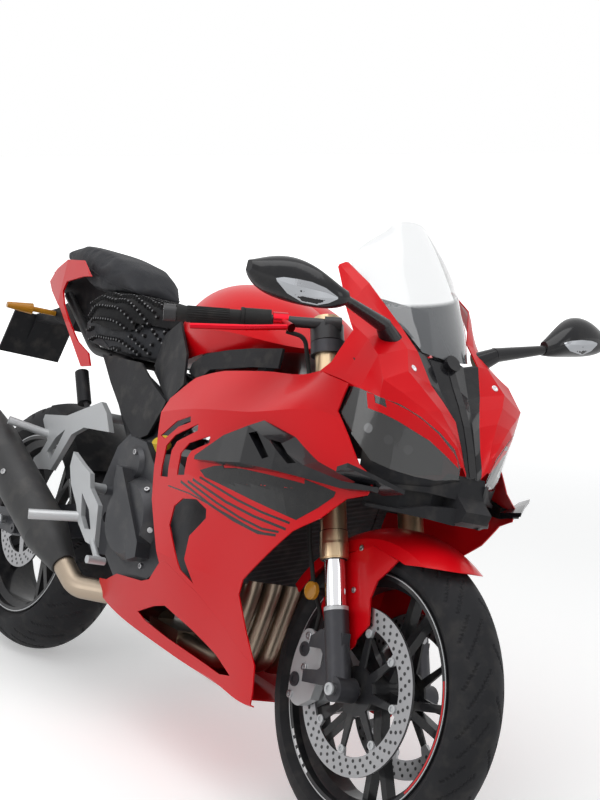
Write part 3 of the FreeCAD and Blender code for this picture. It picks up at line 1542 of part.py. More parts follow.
def mirror_wire(row):
    """Flat rear face for the glass and a rounded front."""
    rear = row.x - row.deep / 2
    high = row.z + row.tall / 2
    low = row.z - row.tall / 2
    front = Vector(row.x + row.deep / 2, row.y, row.z)
    return Part.Wire(
        [
            Part.LineSegment(Vector(rear, row.y, low), Vector(rear, row.y, high)).toShape(),
            Part.Arc(Vector(rear, row.y, high), front, Vector(rear, row.y, low)).toShape(),
        ]
    )


mirrors = []
for key, side in SIDES.items():
    rows = MIRRORS[key]
    head = shape_piece(f"mirror_head_{key}", Part.makeLoft([mirror_wire(row) for row in rows], True, False))
    root = Vector(1312, side * 112, 958)
    elbow = Vector(1322, side * 150, 984)
    inner = Vector(rows[0].x, side * 284, rows[0].z)
    arm_low = cone(f"mirror_foot_{key}", root, elbow, 22, 15)
    arm_high = cone(f"mirror_arm_{key}", elbow - (inner - elbow).normalize() * 6, inner, 15, 9)
    mirrors.append(fuse(f"mirror_{key}", [head, arm_low, arm_high]))
add_node("mirrors", mirrors, shared=True)
nose_seats = mirrors + [nose_stay_solid, screen, left_fairing]
both_sides("nose_fairing", cut("nose_half", nose_left, nose_seats))
add_node("nose_spine", [cut("nose_spine", spine_solid, [screen])])
add_node("nose_intake", [cut("nose_intake", intake_solid, [spine_solid])])


# Swingarm, chain and rear suspension

arm_side = [
    (size.pivot_x + 30, size.pivot_z + 34),
    (size.pivot_x - 20, size.pivot_z + 46),
    (360, 446),
    (200, 390),
    (rear_x + 60, size.rear_radius + 38),
    (rear_x - 44, size.rear_radius + 26),
    (rear_x - 62, size.rear_radius, "arc"),
    (rear_x - 44, size.rear_radius - 26),
    (rear_x + 60, size.rear_radius - 28),
    (240, 318),
    (360, 362),
    (size.pivot_x, size.pivot_z - 34),
    (size.pivot_x + 34, size.pivot_z, "arc"),
]
gap = size.arm_gap
outer = size.arm_gap + size.arm_wall
arm_plan = [
    (rear_x - 80, gap),
    (rear_x - 80, outer),
    (230, outer),
    (400, 62),
    (530, 62),
    (530, 36),
    (380, 36),
    (330, 40),
    (300, gap - 14),
    (250, gap),
]
arm_left = common("arm_left", slab("arm_side", arm_side, 20, 160), plan_slab("arm_plan", arm_plan, 200, 520))
arm_bridge = slab("arm_bridge", [(372, 372), (440, 394), (440, 462), (372, 446)], -64, 64)
pivot_boss = rod("pivot_boss", pivot - Vector(0, 66, 0), pivot + Vector(0, 66, 0), "Sizes.axle_radius + 16")
arm_bore = rod("arm_bore", pivot - Vector(0, 80, 0), pivot + Vector(0, 80, 0), "Sizes.axle_radius + 2")
rear_bore = rod("rear_bore", rear_axle - Vector(0, 180, 0), rear_axle + Vector(0, 180, 0), "Sizes.axle_radius")
stand_boss = rod(
    "stand_boss", Vector(rear_x + 70, outer - 4, 306), Vector(rear_x + 70, outer + 12, 306), "Sizes.axle_radius + 2"
)
stand_thread = rod("stand_thread", Vector(rear_x + 70, outer - 14, 306), Vector(rear_x + 70, outer + 13, 306), "Sizes.axle_radius - 6")
arm_pieces = [arm_left, mirrored("arm_right", arm_left), arm_bridge, pivot_boss, stand_boss, mirrored("stand_boss_right", stand_boss)]
arm_holes = [arm_bore, rear_bore, stand_thread, mirrored("stand_thread_right", stand_thread)]
add_node("swingarm", [cut("swingarm", fuse("swingarm_solid", arm_pieces), arm_holes)])
pivot_pin = rod("pivot_pin", pivot - Vector(0, 118, 0), pivot + Vector(0, 118, 0), "Sizes.axle_radius + 2")
rear_half = outer + 14
rear_pin = rod("rear_pin", rear_axle - Vector(0, rear_half, 0), rear_axle + Vector(0, rear_half, 0), "Sizes.axle_radius")
add_node("swingarm_axles", [pivot_pin, rear_pin])

sprocket_body = new_body("rear_sprocket", rear_axle + Vector(0, size.chain_offset, 0))
tooth_root = size.sprocket_radius - 9
pad_across(sprocket_body, ring(tooth_root, size.hub_radius + 26), "Sizes.disc_thickness + 1")
TEETH = 43
tooth = [(tooth_root - 2, -4.6), (size.sprocket_radius, -1.6), (size.sprocket_radius, 1.6), (tooth_root - 2, 4.6)]
polar(sprocket_body, pad_across(sprocket_body, outline(tooth), "Sizes.disc_thickness + 1"), TEETH)
web = [(20, -9), (size.hub_radius + 28, -9), (size.hub_radius + 28, 9), (20, 9)]
polar(sprocket_body, pad_across(sprocket_body, outline(web), "Sizes.disc_thickness + 1"), 5)
pad_across(sprocket_body, ring(size.hub_radius + 2, size.axle_radius + 8), "Sizes.disc_thickness + 1")
add_node("rear_sprocket", [sprocket_body])

def belt_outline(radius_rear, radius_front):
    """Two arcs and the two tangents between them, around the sprockets' centres."""
    span = drive_centre - Vector(rear_axle.x, 0, rear_axle.z)
    slope = math.atan2(span.z, span.x)
    lean = math.acos((radius_rear - radius_front) / span.Length)

    def at(centre, radius, angle):
        return (centre.x + radius * math.cos(angle), centre.z + radius * math.sin(angle))

    rear_high = at(rear_axle, radius_rear, slope + lean)
    rear_low = at(rear_axle, radius_rear, slope - lean)
    front_high = at(drive_centre, radius_front, slope + lean)
    front_low = at(drive_centre, radius_front, slope - lean)
    rear_back = at(rear_axle, radius_rear, slope + math.pi)
    front_tip = at(drive_centre, radius_front, slope)
    return [rear_high, rear_back + ("arc",), rear_low, front_low, front_tip + ("arc",), front_high]


chain_low = size.chain_offset - size.chain_width / 2
chain_high = size.chain_offset + size.chain_width / 2
chain_gap = size.sprocket_radius + 0.6
chain_band = slab(
    "chain_band", belt_outline(chain_gap + size.chain_height, drive_radius + size.chain_height), chain_low, chain_high
)
chain_inside = slab("chain_inside", belt_outline(chain_gap, drive_radius), chain_low - 5, chain_high + 5)
add_node("chain", [cut("chain", chain_band, [chain_inside])])
shock_low = Vector(398, 0, 446)
shock_high = Vector(466, 0, 612)
shock_way = (shock_high - shock_low).normalize()
damper = rod("damper", shock_low, shock_high, "Sizes.stem_radius - 3")
coils = []
for number in range(6):
    base = shock_low + shock_way * (50 + number * 17)
    coils.append(rod(f"coil_{number}", base, base + shock_way * 10, "Sizes.stem_radius + 15"))
collar_low = rod("collar_low", shock_low + shock_way * 38, shock_low + shock_way * 50, "Sizes.stem_radius + 17")
shock_solid = fuse("shock_solid", [damper, collar_low] + coils)
add_node("rear_shock", [cut("rear_shock", shock_solid, [cross_high, arm_bridge])])

hugger_inner = size.rear_radius + 12
hugger_section = [
    (-99, size.rear_radius - 60),
    (-91, size.rear_radius - 6),
    (0, hugger_inner, "arc"),
    (91, size.rear_radius - 6),
    (99, size.rear_radius - 60),
    (102, size.rear_radius - 60),
    (94, size.rear_radius - 4),
    (0, hugger_inner + 3, "arc"),
    (-94, size.rear_radius - 4),
    (-102, size.rear_radius - 60),
]
hugger_sketch = doc.addObject("Sketcher::SketchObject", "hugger_section")
hugger_sketch.addGeometry(outline(hugger_section))
HUGGER_FRONT = 36.0
HUGGER_REAR = 84.0
hugger_sketch.Placement = Placement(rear_axle, Rotation(Vector(0, -1, 0), HUGGER_FRONT).multiply(guard_frame))
hugger_arch = doc.addObject("Part::Revolution", "hugger_arch")
hugger_arch.Source = hugger_sketch
hugger_arch.Base = rear_axle
hugger_arch.Axis = Vector(0, -1, 0)
hugger_arch.Angle = HUGGER_REAR - HUGGER_FRONT
hugger_arch.Solid = True
hugger_tongue = slab("hugger_tongue", [(262, 503), (267, 513), (371.8, 444), (371.8, 430)], -28, 28)
add_node("rear_hugger", [fuse("rear_hugger", [hugger_arch, hugger_tongue])])

rear_caliper_shell = slab(
    "rear_caliper_shell",
    [(rear_x + 40, 350), (rear_x + 112, 372), (rear_x + 150, 350), (rear_x + 140, 306), (rear_x + 72, 300)],
    -gap + 0.2,
    -size.rear_disc_offset + 24,
)
rear_slot = rod(
    "rear_slot",
    rear_axle - Vector(0, size.rear_disc_offset + 5, 0),
    rear_axle - Vector(0, size.rear_disc_offset - 5, 0),
    "Sizes.rear_disc_radius + 2",
)
add_node("rear_caliper", [cut("rear_caliper", rear_caliper_shell, [rear_slot])])

# Footrests

rest_plate = [
    (371, 552),
    (370, 517),
    (393, 479),
    (440, 438),
    (466, 402),
    (518, 369),
    (561, 367),
    (555, 388),
    (536, 458),
    (484, 488),
    (468, 519),
    (425, 532),
]
rest_window = [(452, 470), (500, 440), (528, 400), (500, 396), (472, 420)]
rest_plate_left = cut(
    "rest_plate", slab("rest_outline", rest_plate, 182, 194), [slab("rest_window", rest_window, 170, 210)]
)
rest_boss = rod("rest_boss", Vector(436, 128.2, 484), Vector(436, 184, 484), "Sizes.bar_radius + 1")
peg_root = Vector(452, 188, 414)
peg_tip = Vector(404, 290, 396)
peg = rod("peg", peg_root, peg_tip, "Sizes.bar_radius + 1")
pedal = bent_tube("pedal", [Vector(545, 192, 376), Vector(600, 206, 352), Vector(640, 214, 350)], 7.0, 20.0)
pedal_tip = rod("pedal_tip", Vector(636, 206, 350), Vector(636, 250, 350), "Sizes.bar_radius - 2")
both_sides("rider_footrests", fuse("rider_footrest", [rest_plate_left, rest_boss, peg, pedal, pedal_tip]))

bracket_outline = [
    (353, 678),
    (388, 657),
    (420, 616),
    (300, 606),
    (250, 580),
    (190, 480),
    (150, 476),
    (96, 466),
    (92, 492),
    (120, 512),
    (140, 545),
    (94, 590),
    (98, 604),
    (209, 620),
]
bracket_window = [(150, 520), (178, 560), (214, 586), (176, 500)]
bracket_left = cut(
    "bracket", slab("bracket_outline", bracket_outline, 128, 142), [slab("bracket_window", bracket_window, 110, 160)]
)
bracket_boss = rod("bracket_boss", Vector(372, 76, 646), Vector(372, 130, 646), "Sizes.bar_radius")
back_peg = rod("back_peg", Vector(130, 138, 560), Vector(98, 236, 574), "Sizes.bar_radius - 1")
passenger_solid = fuse("passenger_solid", [bracket_left, bracket_boss, back_peg])
both_sides("passenger_footrests", cut("passenger_footrest", passenger_solid, [stay]))
fluid_base = Vector(252, -128, 660)
fluid_top = Vector(200, -126, 730)
fluid_cup = rod("fluid_cup", fluid_base, fluid_top, "Sizes.stem_radius")
fluid_stay = rod("fluid_stay", fluid_base + Vector(-6, 0, 8), Vector(300, -134, 645), "Sizes.bar_radius - 5")
fluid_solid = fuse("fluid_solid", [fluid_cup, fluid_stay])
add_node("rear_fluid_cup", [cut("rear_fluid_cup", fluid_solid, [mirrored("bracket_right", bracket_left)])])

# Brake hoses from the lever to the calipers

hose_points = [
    Vector(1086, -194.7, 932),
    Vector(1104, -160, 930),
    Vector(1112, -136.5, 866),
    Vector(1180, -144.5, 744),
    Vector(1204, -141, 650),
    Vector(1233, -127, 540),
    Vector(1266, -116, 460),
    Vector(1262, -84, 415),
    Vector(1262, -84, 377.6),
]
hose = bent_tube("hose", hose_points, 4.5, 24.0)
add_node("front_brake_hose", [cut("front_brake_hose", hose, calipers + levers)])

# Side stand and the lean onto it

leg = rod("stand_leg", STAND_ROOT, leg_end, "Sizes.stand_leg_radius")
foot = rod("stand_foot", foot_rest, foot_high, "Sizes.stand_foot_radius")
foot_neck = rod("stand_neck", foot_high - ground_up, leg_end, "Sizes.stand_leg_radius + 2")
eye = rod("stand_eye", stand_point(-12), stand_point(12), "Sizes.stand_leg_radius + 7")
eye_bore = rod("stand_bore", stand_point(-16), stand_point(16), "Sizes.axle_radius - 3 + Sizes.running_clearance")
add_node("side_stand", [cut("side_stand", fuse("stand_solid", [leg, foot, foot_neck, eye]), [eye_bore])])
pin = rod("stand_pin", stand_point(-38), stand_point(15), "Sizes.axle_radius - 3")
pin_head = rod("stand_pin_head", stand_point(13), stand_point(17), "Sizes.axle_radius")
pin_nut = rod("stand_pin_nut", stand_point(-42), stand_point(-36.2), "Sizes.axle_radius + 1")
add_node("brackets", [fuse("stand_bracket", [pin, pin_head, pin_nut]), nose_stay])

parked = Placement(Vector(0, 0, ground_drop), Rotation()).multiply(
    Placement(Vector(), Rotation(Vector(0, 1, 0), math.degrees(pitch))).multiply(
        Placement(Vector(), Rotation(Vector(1, 0, 0), -size.lean_angle))
    )
)

doc.recompute()
faults = [item.Name for item in doc.Objects if "Invalid" in item.State or "Error" in item.State]
faults += [part.Label for part in nodes if part.Shape.isNull() or not part.Shape.isValid()]
if faults:
    raise RuntimeError("failed pieces: " + ", ".join(faults))

boxes = []
for part in nodes:
    leaned = part.Shape.copy()
    leaned.Placement = parked.multiply(leaned.Placement)
    boxes.append(leaned.optimalBoundingBox(False, False))
origin = Vector(
    (min(b.XMin for b in boxes) + max(b.XMax for b in boxes)) / 2,
    (min(b.YMin for b in boxes) + max(b.YMax for b in boxes)) / 2,
    min(b.ZMin for b in boxes),
)
standing = Placement(-origin, Rotation()).multiply(parked)
for part in nodes:
    part.Placement = standing.multiply(part.Placement)
doc.recompute()

os.makedirs("parts", exist_ok=True)
for part in nodes:
    part.Shape.exportStep(f"parts/{part.Label}.step")
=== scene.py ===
"""The looks of a sport motorcycle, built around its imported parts. Lengths are in metres."""

import json
import math
from collections import namedtuple

import bpy
from mathutils import Matrix, Vector
from mathutils.bvhtree import BVHTree


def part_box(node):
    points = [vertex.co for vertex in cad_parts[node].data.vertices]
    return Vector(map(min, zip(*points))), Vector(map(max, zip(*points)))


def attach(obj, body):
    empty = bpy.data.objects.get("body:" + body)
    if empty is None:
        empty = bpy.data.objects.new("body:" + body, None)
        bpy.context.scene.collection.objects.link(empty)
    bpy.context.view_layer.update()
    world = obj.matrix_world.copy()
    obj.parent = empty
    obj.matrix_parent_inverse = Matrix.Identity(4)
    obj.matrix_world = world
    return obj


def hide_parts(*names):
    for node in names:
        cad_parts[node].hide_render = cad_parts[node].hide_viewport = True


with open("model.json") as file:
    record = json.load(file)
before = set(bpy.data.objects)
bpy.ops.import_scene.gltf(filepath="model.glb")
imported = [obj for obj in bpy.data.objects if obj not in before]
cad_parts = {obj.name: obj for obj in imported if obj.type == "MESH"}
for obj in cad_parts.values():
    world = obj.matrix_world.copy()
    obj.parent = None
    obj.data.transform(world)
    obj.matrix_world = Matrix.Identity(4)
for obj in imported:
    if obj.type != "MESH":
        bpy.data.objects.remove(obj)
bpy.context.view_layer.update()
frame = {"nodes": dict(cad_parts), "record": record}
nodes = frame["nodes"]

# The upright machine and how it is parked

LEAN = math.radians(15.5)
REAR_CROWN = 0.090
FRONT_CROWN = 0.060
WHEELBASE = 1.400
ROW_ORIGIN = Vector((0.680374, 0.269442, 0.0))
PITCH = math.asin((REAR_CROWN - FRONT_CROWN) * (1 - math.cos(LEAN)) / WHEELBASE)
DROP = Vector((0, 0, REAR_CROWN * (1 - math.cos(LEAN))))
STANDING = (
    Matrix.Translation(DROP - ROW_ORIGIN) @ Matrix.Rotation(PITCH, 4, "Y") @ Matrix.Rotation(-LEAN, 4, "X")
)

MIRROR = STANDING @ Matrix.Scale(-1, 4, (0, 1, 0)) @ STANDING.inverted()

# The photograph's viewpoint, which also places what is seen on the panels

CAMERA_PLACE = Vector((3.070, -2.0712, 1.4108))
CAMERA_AHEAD = Vector((-0.80084, 0.57104, -0.18047))
CAMERA_ROLL = math.radians(0.99)
CAMERA_TURN = CAMERA_AHEAD.to_track_quat("-Z", "Y") @ Matrix.Rotation(CAMERA_ROLL, 3, "Z").to_quaternion()
LENS = 74.35
SENSOR = 36.0
PHOTO = (600, 800)


def upright(x, y, z):
    """A point of the upright machine, in millimetres, as it stands parked."""
    return STANDING @ (Vector((x, y, z)) / 1000)


def sight(px, py):
    """The line of sight through a pixel of the photograph."""
    step = SENSOR / PHOTO[1] / LENS
    return (CAMERA_TURN @ Vector(((px - PHOTO[0] / 2) * step, (PHOTO[1] / 2 - py) * step, -1))).normalized()


trees = {}


def faces_of(mesh):
    """The faces of a mesh, ready for finding where a line meets them."""
    return BVHTree.FromPolygons([v.co for v in mesh.vertices], [list(p.vertices) for p in mesh.polygons])


def tree(node):
    """The faces of a node, kept for finding places on its surface."""
    if node not in trees:
        trees[node] = faces_of(nodes[node].data)
    return trees[node]


def on_surface(node, start, way):
    """Where a line first meets a node: the place and the normal that faces the start, or None."""
    place, normal, _, _ = tree(node).ray_cast(start, way)
    if place is None:
        return None
    return place, (-normal if normal.dot(way) > 0 else normal)


def seen(node, px, py):
    return on_surface(node, CAMERA_PLACE, sight(px, py))


def from_side(node, x, z, side=-1):
    """A place on the outside of a node, met from the right or the left of the upright machine."""
    start = upright(x, side * 600, z)
    return on_surface(node, start, (upright(x, 0, z) - start).normalized())


# Materials


def wear_group():
    """Shared masks: soft smudges, fine grain and thin dust, all between nought and one."""
    group = bpy.data.node_groups.new("wear", "ShaderNodeTree")
    group.interface.new_socket("Scale", in_out="INPUT", socket_type="NodeSocketFloat").default_value = 1.0
    for name in ("Smudge", "Grain", "Dust"):
        group.interface.new_socket(name, in_out="OUTPUT", socket_type="NodeSocketFloat")
    add = group.nodes.new
    link = group.links.new
    inside = add("NodeGroupInput")
    outside = add("NodeGroupOutput")
    place = add("ShaderNodeTexCoord")
    for name, scale, detail, low, high in (
        ("Smudge", 9.0, 3.0, 0.42, 0.7),
        ("Grain", 900.0, 2.0, 0.3, 0.7),
        ("Dust", 28.0, 6.0, 0.5, 0.75),
    ):
        size = add("ShaderNodeMath")
        size.operation = "MULTIPLY"
        size.inputs[1].default_value = scale
        link(inside.outputs["Scale"], size.inputs[0])
        noise = add("ShaderNodeTexNoise")
        noise.inputs["Detail"].default_value = detail
        link(size.outputs[0], noise.inputs["Scale"])
        link(place.outputs["Object"], noise.inputs["Vector"])
        spread = add("ShaderNodeMapRange")
        spread.inputs["From Min"].default_value = low
        spread.inputs["From Max"].default_value = high
        link(noise.outputs["Fac"], spread.inputs["Value"])
        link(spread.outputs["Result"], outside.inputs[name])
    return group


WEAR = wear_group()
DUST_COLOUR = (0.32, 0.29, 0.25, 1.0)

Finish = namedtuple("Finish", "colour rough metal coat grain smudge dust")
FINISHES = {
    "tyre_rubber": Finish((0.020, 0.020, 0.022), 0.62, 0.0, 0.0, 0.20, 0.14, 0.06),
    "black_wheel": Finish((0.018, 0.018, 0.020), 0.34, 0.0, 0.25, 0.05, 0.10, 0.10),
    "disc_steel": Finish((0.33, 0.33, 0.34), 0.34, 1.0, 0.0, 0.10, 0.12, 0.04),
    "black_carrier": Finish((0.020, 0.020, 0.022), 0.40, 0.2, 0.0, 0.05, 0.10, 0.06),
    "gold_tube": Finish((0.62, 0.47, 0.30), 0.32, 1.0, 0.0, 0.03, 0.08, 0.03),
    "chrome_tube": Finish((0.78, 0.78, 0.80), 0.07, 1.0, 0.0, 0.0, 0.05, 0.02),
    "dark_casting": Finish((0.042, 0.042, 0.048), 0.42, 0.55, 0.0, 0.12, 0.10, 0.08),
    "silver_casting": Finish((0.48, 0.49, 0.50), 0.40, 0.45, 0.0, 0.12, 0.10, 0.06),
    "axle_steel": Finish((0.42, 0.42, 0.43), 0.28, 1.0, 0.0, 0.04, 0.08, 0.04),
    "grip_rubber": Finish((0.018, 0.018, 0.018), 0.62, 0.0, 0.0, 0.15, 0.06, 0.05),
    "black_plastic": Finish((0.016, 0.016, 0.018), 0.50, 0.0, 0.0, 0.22, 0.10, 0.10),
    "red_lever": Finish((0.50, 0.010, 0.020), 0.26, 1.0, 0.0, 0.02, 0.05, 0.02),
    "red_panel": Finish((0.68, 0.002, 0.007), 0.30, 0.0, 0.10, 0.0, 0.04, 0.0),
    "black_gloss": Finish((0.010, 0.010, 0.012), 0.18, 0.0, 0.3, 0.0, 0.06, 0.04),
    "frame_metal": Finish((0.036, 0.037, 0.044), 0.38, 0.4, 0.1, 0.08, 0.10, 0.06),
    "subframe_steel": Finish((0.022, 0.022, 0.024), 0.44, 0.0, 0.1, 0.05, 0.08, 0.08),
    "engine_metal": Finish((0.040, 0.041, 0.046), 0.40, 0.45, 0.0, 0.15, 0.10, 0.10),
    "exhaust_metal": Finish((0.38, 0.31, 0.24), 0.34, 1.0, 0.0, 0.05, 0.15, 0.06),
    "silencer_metal": Finish((0.026, 0.026, 0.027), 0.52, 0.1, 0.0, 0.15, 0.10, 0.08),
    "radiator_metal": Finish((0.030, 0.030, 0.032), 0.50, 0.3, 0.0, 0.05, 0.05, 0.12),
    "seat_cover": Finish((0.030, 0.031, 0.035), 0.55, 0.0, 0.0, 0.45, 0.10, 0.05),
    "pad_mesh": Finish((0.014, 0.014, 0.015), 0.72, 0.0, 0.0, 0.30, 0.05, 0.05),
    "lamp_red": Finish((0.32, 0.010, 0.012), 0.12, 0.0, 0.5, 0.0, 0.04, 0.02),
    "amber": Finish((0.50, 0.22, 0.02), 0.14, 0.0, 0.4, 0.0, 0.04, 0.02),
    "yellow_cap": Finish((0.72, 0.50, 0.03), 0.34, 0.0, 0.2, 0.05, 0.05, 0.04),
    "chain_steel": Finish((0.20, 0.18, 0.15), 0.40, 1.0, 0.0, 0.10, 0.20, 0.15),
    "spring_metal": Finish((0.40, 0.015, 0.015), 0.30, 0.0, 0.4, 0.02, 0.05, 0.05),
    "black_paint": Finish((0.008, 0.008, 0.009), 0.26, 0.0, 0.3, 0.0, 0.04, 0.03),
    "white_paint": Finish((0.72, 0.72, 0.72), 0.30, 0.0, 0.5, 0.0, 0.05, 0.04),
    "red_mark": Finish((0.62, 0.010, 0.014), 0.34, 0.0, 0.3, 0.0, 0.05, 0.03),
}


def surface(name, finish, scale=1.0):
    """A principled surface with smudges in its roughness, thin dust in its colour and a fine grain."""
    material = bpy.data.materials.new(name)
    material.use_nodes = True
    tree = material.node_tree
    shader = tree.nodes["Principled BSDF"]
    shader.inputs["Metallic"].default_value = finish.metal
    shader.inputs["Coat Weight"].default_value = finish.coat
    shader.inputs["Coat Roughness"].default_value = 0.04
    shader.inputs["Specular IOR Level"].default_value = 0.5 if finish.metal else 0.16
    wear = tree.nodes.new("ShaderNodeGroup")
    wear.node_tree = WEAR
    wear.inputs["Scale"].default_value = scale
    rough = tree.nodes.new("ShaderNodeMapRange")
    rough.inputs["To Min"].default_value = finish.rough
    rough.inputs["To Max"].default_value = min(1.0, finish.rough + finish.smudge)
    tree.links.new(wear.outputs["Smudge"], rough.inputs["Value"])
    tree.links.new(rough.outputs["Result"], shader.inputs["Roughness"])
    amount = tree.nodes.new("ShaderNodeMath")
    amount.operation = "MULTIPLY"
    amount.inputs[1].default_value = finish.dust
    tree.links.new(wear.outputs["Dust"], amount.inputs[0])
    mixed = tree.nodes.new("ShaderNodeMix")
    mixed.data_type = "RGBA"
    mixed.inputs["A"].default_value = (*finish.colour, 1.0)
    mixed.inputs["B"].default_value = DUST_COLOUR
    tree.links.new(amount.outputs[0], mixed.inputs["Factor"])
    tree.links.new(mixed.outputs["Result"], shader.inputs["Base Color"])
    if finish.grain:
        bump = tree.nodes.new("ShaderNodeBump")
        bump.inputs["Strength"].default_value = finish.grain
        bump.inputs["Distance"].default_value = 0.0004
        tree.links.new(wear.outputs["Grain"], bump.inputs["Height"])
        tree.links.new(bump.outputs["Normal"], shader.inputs["Normal"])
    return material


materials = {name: surface(name, finish) for name, finish in FINISHES.items()}


def see_through(name, colour, rough, alpha):
    """Thin tinted plastic that lets the things behind it show."""
    material = bpy.data.materials.new(name)
    material.use_nodes = True
    shader = material.node_tree.nodes["Principled BSDF"]
    shader.inputs["Base Color"].default_value = (*colour, 1.0)
    shader.inputs["Roughness"].default_value = rough
    shader.inputs["Alpha"].default_value = alpha
    shader.inputs["Coat Weight"].default_value = 1.0
    shader.inputs["Coat Roughness"].default_value = 0.03
    return material


materials["smoked_lens"] = see_through("smoked_lens", (0.012, 0.012, 0.013), 0.10, 0.66)
materials["clear_screen"] = see_through("clear_screen", (0.46, 0.48, 0.49), 0.05, 0.26)
LENS_FINISHES = {
    "mirror_glass": Finish((0.36, 0.37, 0.39), 0.08, 1.0, 0.0, 0.0, 0.03, 0.02),
    "lamp_chrome": Finish((0.60, 0.60, 0.62), 0.14, 1.0, 0.0, 0.0, 0.05, 0.02),
}
for name, finish in LENS_FINISHES.items():
    materials[name] = surface(name, finish)
# Pale grey for the flat tip of each seat-pad nub: a painted highlight, not the pad's own colour.
materials["nub_painted_highlight"] = surface("nub_painted_highlight", Finish((0.16, 0.16, 0.165), 0.5, 0.0, 0.0, 0.1, 0.05, 0.05))


def tinted_screen(material):
    """Darkens the foot of the screen, below a height that a clear edge follows."""
    network = material.node_tree
    shader = network.nodes["Principled BSDF"]
    place = network.nodes.new("ShaderNodeTexCoord")
    heights = network.nodes.new("ShaderNodeSeparateXYZ")
    network.links.new(place.outputs["Object"], heights.inputs["Vector"])
    edge = network.nodes.new("ShaderNodeMapRange")
    edge.inputs["From Min"].default_value = TINT_EDGE - 0.004
    edge.inputs["From Max"].default_value = TINT_EDGE + 0.004
    edge.inputs["To Min"].default_value = 0.88
    edge.inputs["To Max"].default_value = 0.26
    network.links.new(heights.outputs["Z"], edge.inputs["Value"])
    network.links.new(edge.outputs["Result"], shader.inputs["Alpha"])
    colour = network.nodes.new("ShaderNodeMix")
    colour.data_type = "RGBA"
    colour.inputs["A"].default_value = (0.46, 0.48, 0.49, 1.0)
    colour.inputs["B"].default_value = (0.030, 0.034, 0.042, 1.0)
    network.links.new(edge.outputs["Result"], colour.inputs["Factor"])
    network.links.new(colour.outputs["Result"], shader.inputs["Base Color"])


TINT_EDGE = upright(1310, 0, 1052).z
tinted_screen(materials["clear_screen"])


def finned(material, spacing, strength):
    """Fine level ridges across a core or a grip, in the grain of its surface."""
    network = material.node_tree
    shader = network.nodes["Principled BSDF"]
    place = network.nodes.new("ShaderNodeTexCoord")
    rows = network.nodes.new("ShaderNodeTexWave")
    rows.wave_type = "BANDS"
    rows.bands_direction = "Z"
    rows.inputs["Scale"].default_value = spacing
    network.links.new(place.outputs["Object"], rows.inputs["Vector"])
    bump = network.nodes.new("ShaderNodeBump")
    bump.inputs["Strength"].default_value = strength
    bump.inputs["Distance"].default_value = 0.002
    network.links.new(rows.outputs["Fac"], bump.inputs["Height"])
    network.links.new(bump.outputs["Normal"], shader.inputs["Normal"])


finned(materials["radiator_metal"], 32.0, 0.9)

SLOTS = {row["node"]: row["material_slot"] for row in frame["record"]["subparts"]}
for name, thing in nodes.items():
    thing.data.materials.clear()
    thing.data.materials.append(materials[SLOTS[name]])
    bpy.ops.object.select_all(action="DESELECT")
    thing.select_set(True)
    bpy.context.view_layer.objects.active = thing
    bpy.ops.object.shade_smooth_by_angle(angle=math.radians(32))

# Shared ways of making a piece


def alone():
    bpy.ops.object.select_all(action="DESELECT")


def chosen(thing):
    alone()
    thing.select_set(True)
    bpy.context.view_layer.objects.active = thing


def finished(thing, name, body, slot, *coats):
    """Names a piece, puts its place into its mesh, coats it and lets it ride on its body."""
    chosen(thing)
    bpy.ops.object.transform_apply(location=True, rotation=True, scale=True)
    thing.name = name
    thing.data.materials.clear()
    for coat in coats:
        thing.data.materials.append(materials[coat])
    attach(thing, body)
    return thing


def joined(pieces):
    alone()
    for piece in pieces:
        piece.select_set(True)
    bpy.context.view_layer.objects.active = pieces[0]
    bpy.ops.object.join()
    return bpy.context.object


def scattered(seed, frames):
    """Copies of one modelled piece at several places, joined into one."""
    copies = []
    for matrix in frames:
        copy = seed.copy()
        copy.data = seed.data.copy()
        copy.data.transform(matrix)
        bpy.context.collection.objects.link(copy)
        copies.append(copy)
    bpy.data.objects.remove(seed)
    return joined(copies)


def facing(place, normal, sink=0.0):
    """A frame at a place with its third axis along the normal."""
    return Matrix.Translation(place - normal * sink) @ normal.to_track_quat("Z", "X").to_matrix().to_4x4()


def bolt(radius, height, corners=6, socket=0.55):
    """A bolt head with a chamfered rim and a sunk socket, standing on its origin."""
    alone()
    middle = (0, 0, height / 2)
    bpy.ops.mesh.primitive_cylinder_add(vertices=24, radius=radius, depth=height, location=middle)
    head = bpy.context.object
    bpy.ops.object.transform_apply(location=True)
    bpy.ops.object.mode_set(mode="EDIT")
    bpy.ops.mesh.select_all(action="DESELECT")
    bpy.ops.object.mode_set(mode="OBJECT")
    for face in head.data.polygons:
        face.select = face.normal.z > 0.9
    bpy.ops.object.mode_set(mode="EDIT")
    bpy.ops.mesh.inset(thickness=radius * 0.12, depth=height * 0.12)
    bpy.ops.mesh.inset(thickness=radius * (0.88 - socket), depth=0.0)
    bpy.ops.mesh.inset(thickness=radius * 0.02, depth=-height * 0.6)
    bpy.ops.object.mode_set(mode="OBJECT")
    return head


def ring(outer, inner, height):
    """A flat ring with chamfered edges, standing on its origin."""
    alone()
    middle = (0, 0, height / 2)
    bpy.ops.mesh.primitive_cylinder_add(
        vertices=40, radius=outer, depth=height, end_fill_type="NGON", location=middle
    )
    band = bpy.context.object
    bpy.ops.object.transform_apply(location=True)
    for face in band.data.polygons:
        face.select = face.normal.z > 0.9
    bpy.ops.object.mode_set(mode="EDIT")
    bpy.ops.mesh.select_mode(type="FACE")
    bpy.ops.mesh.inset(thickness=(outer - inner) * 0.2, depth=height * 0.2)
    bpy.ops.mesh.inset(thickness=(outer - inner) * 0.8, depth=0.0)
    bpy.ops.mesh.inset(thickness=inner * 0.03, depth=-height * 0.8)
    bpy.ops.object.mode_set(mode="OBJECT")
    return band


LIFT = 0.0005


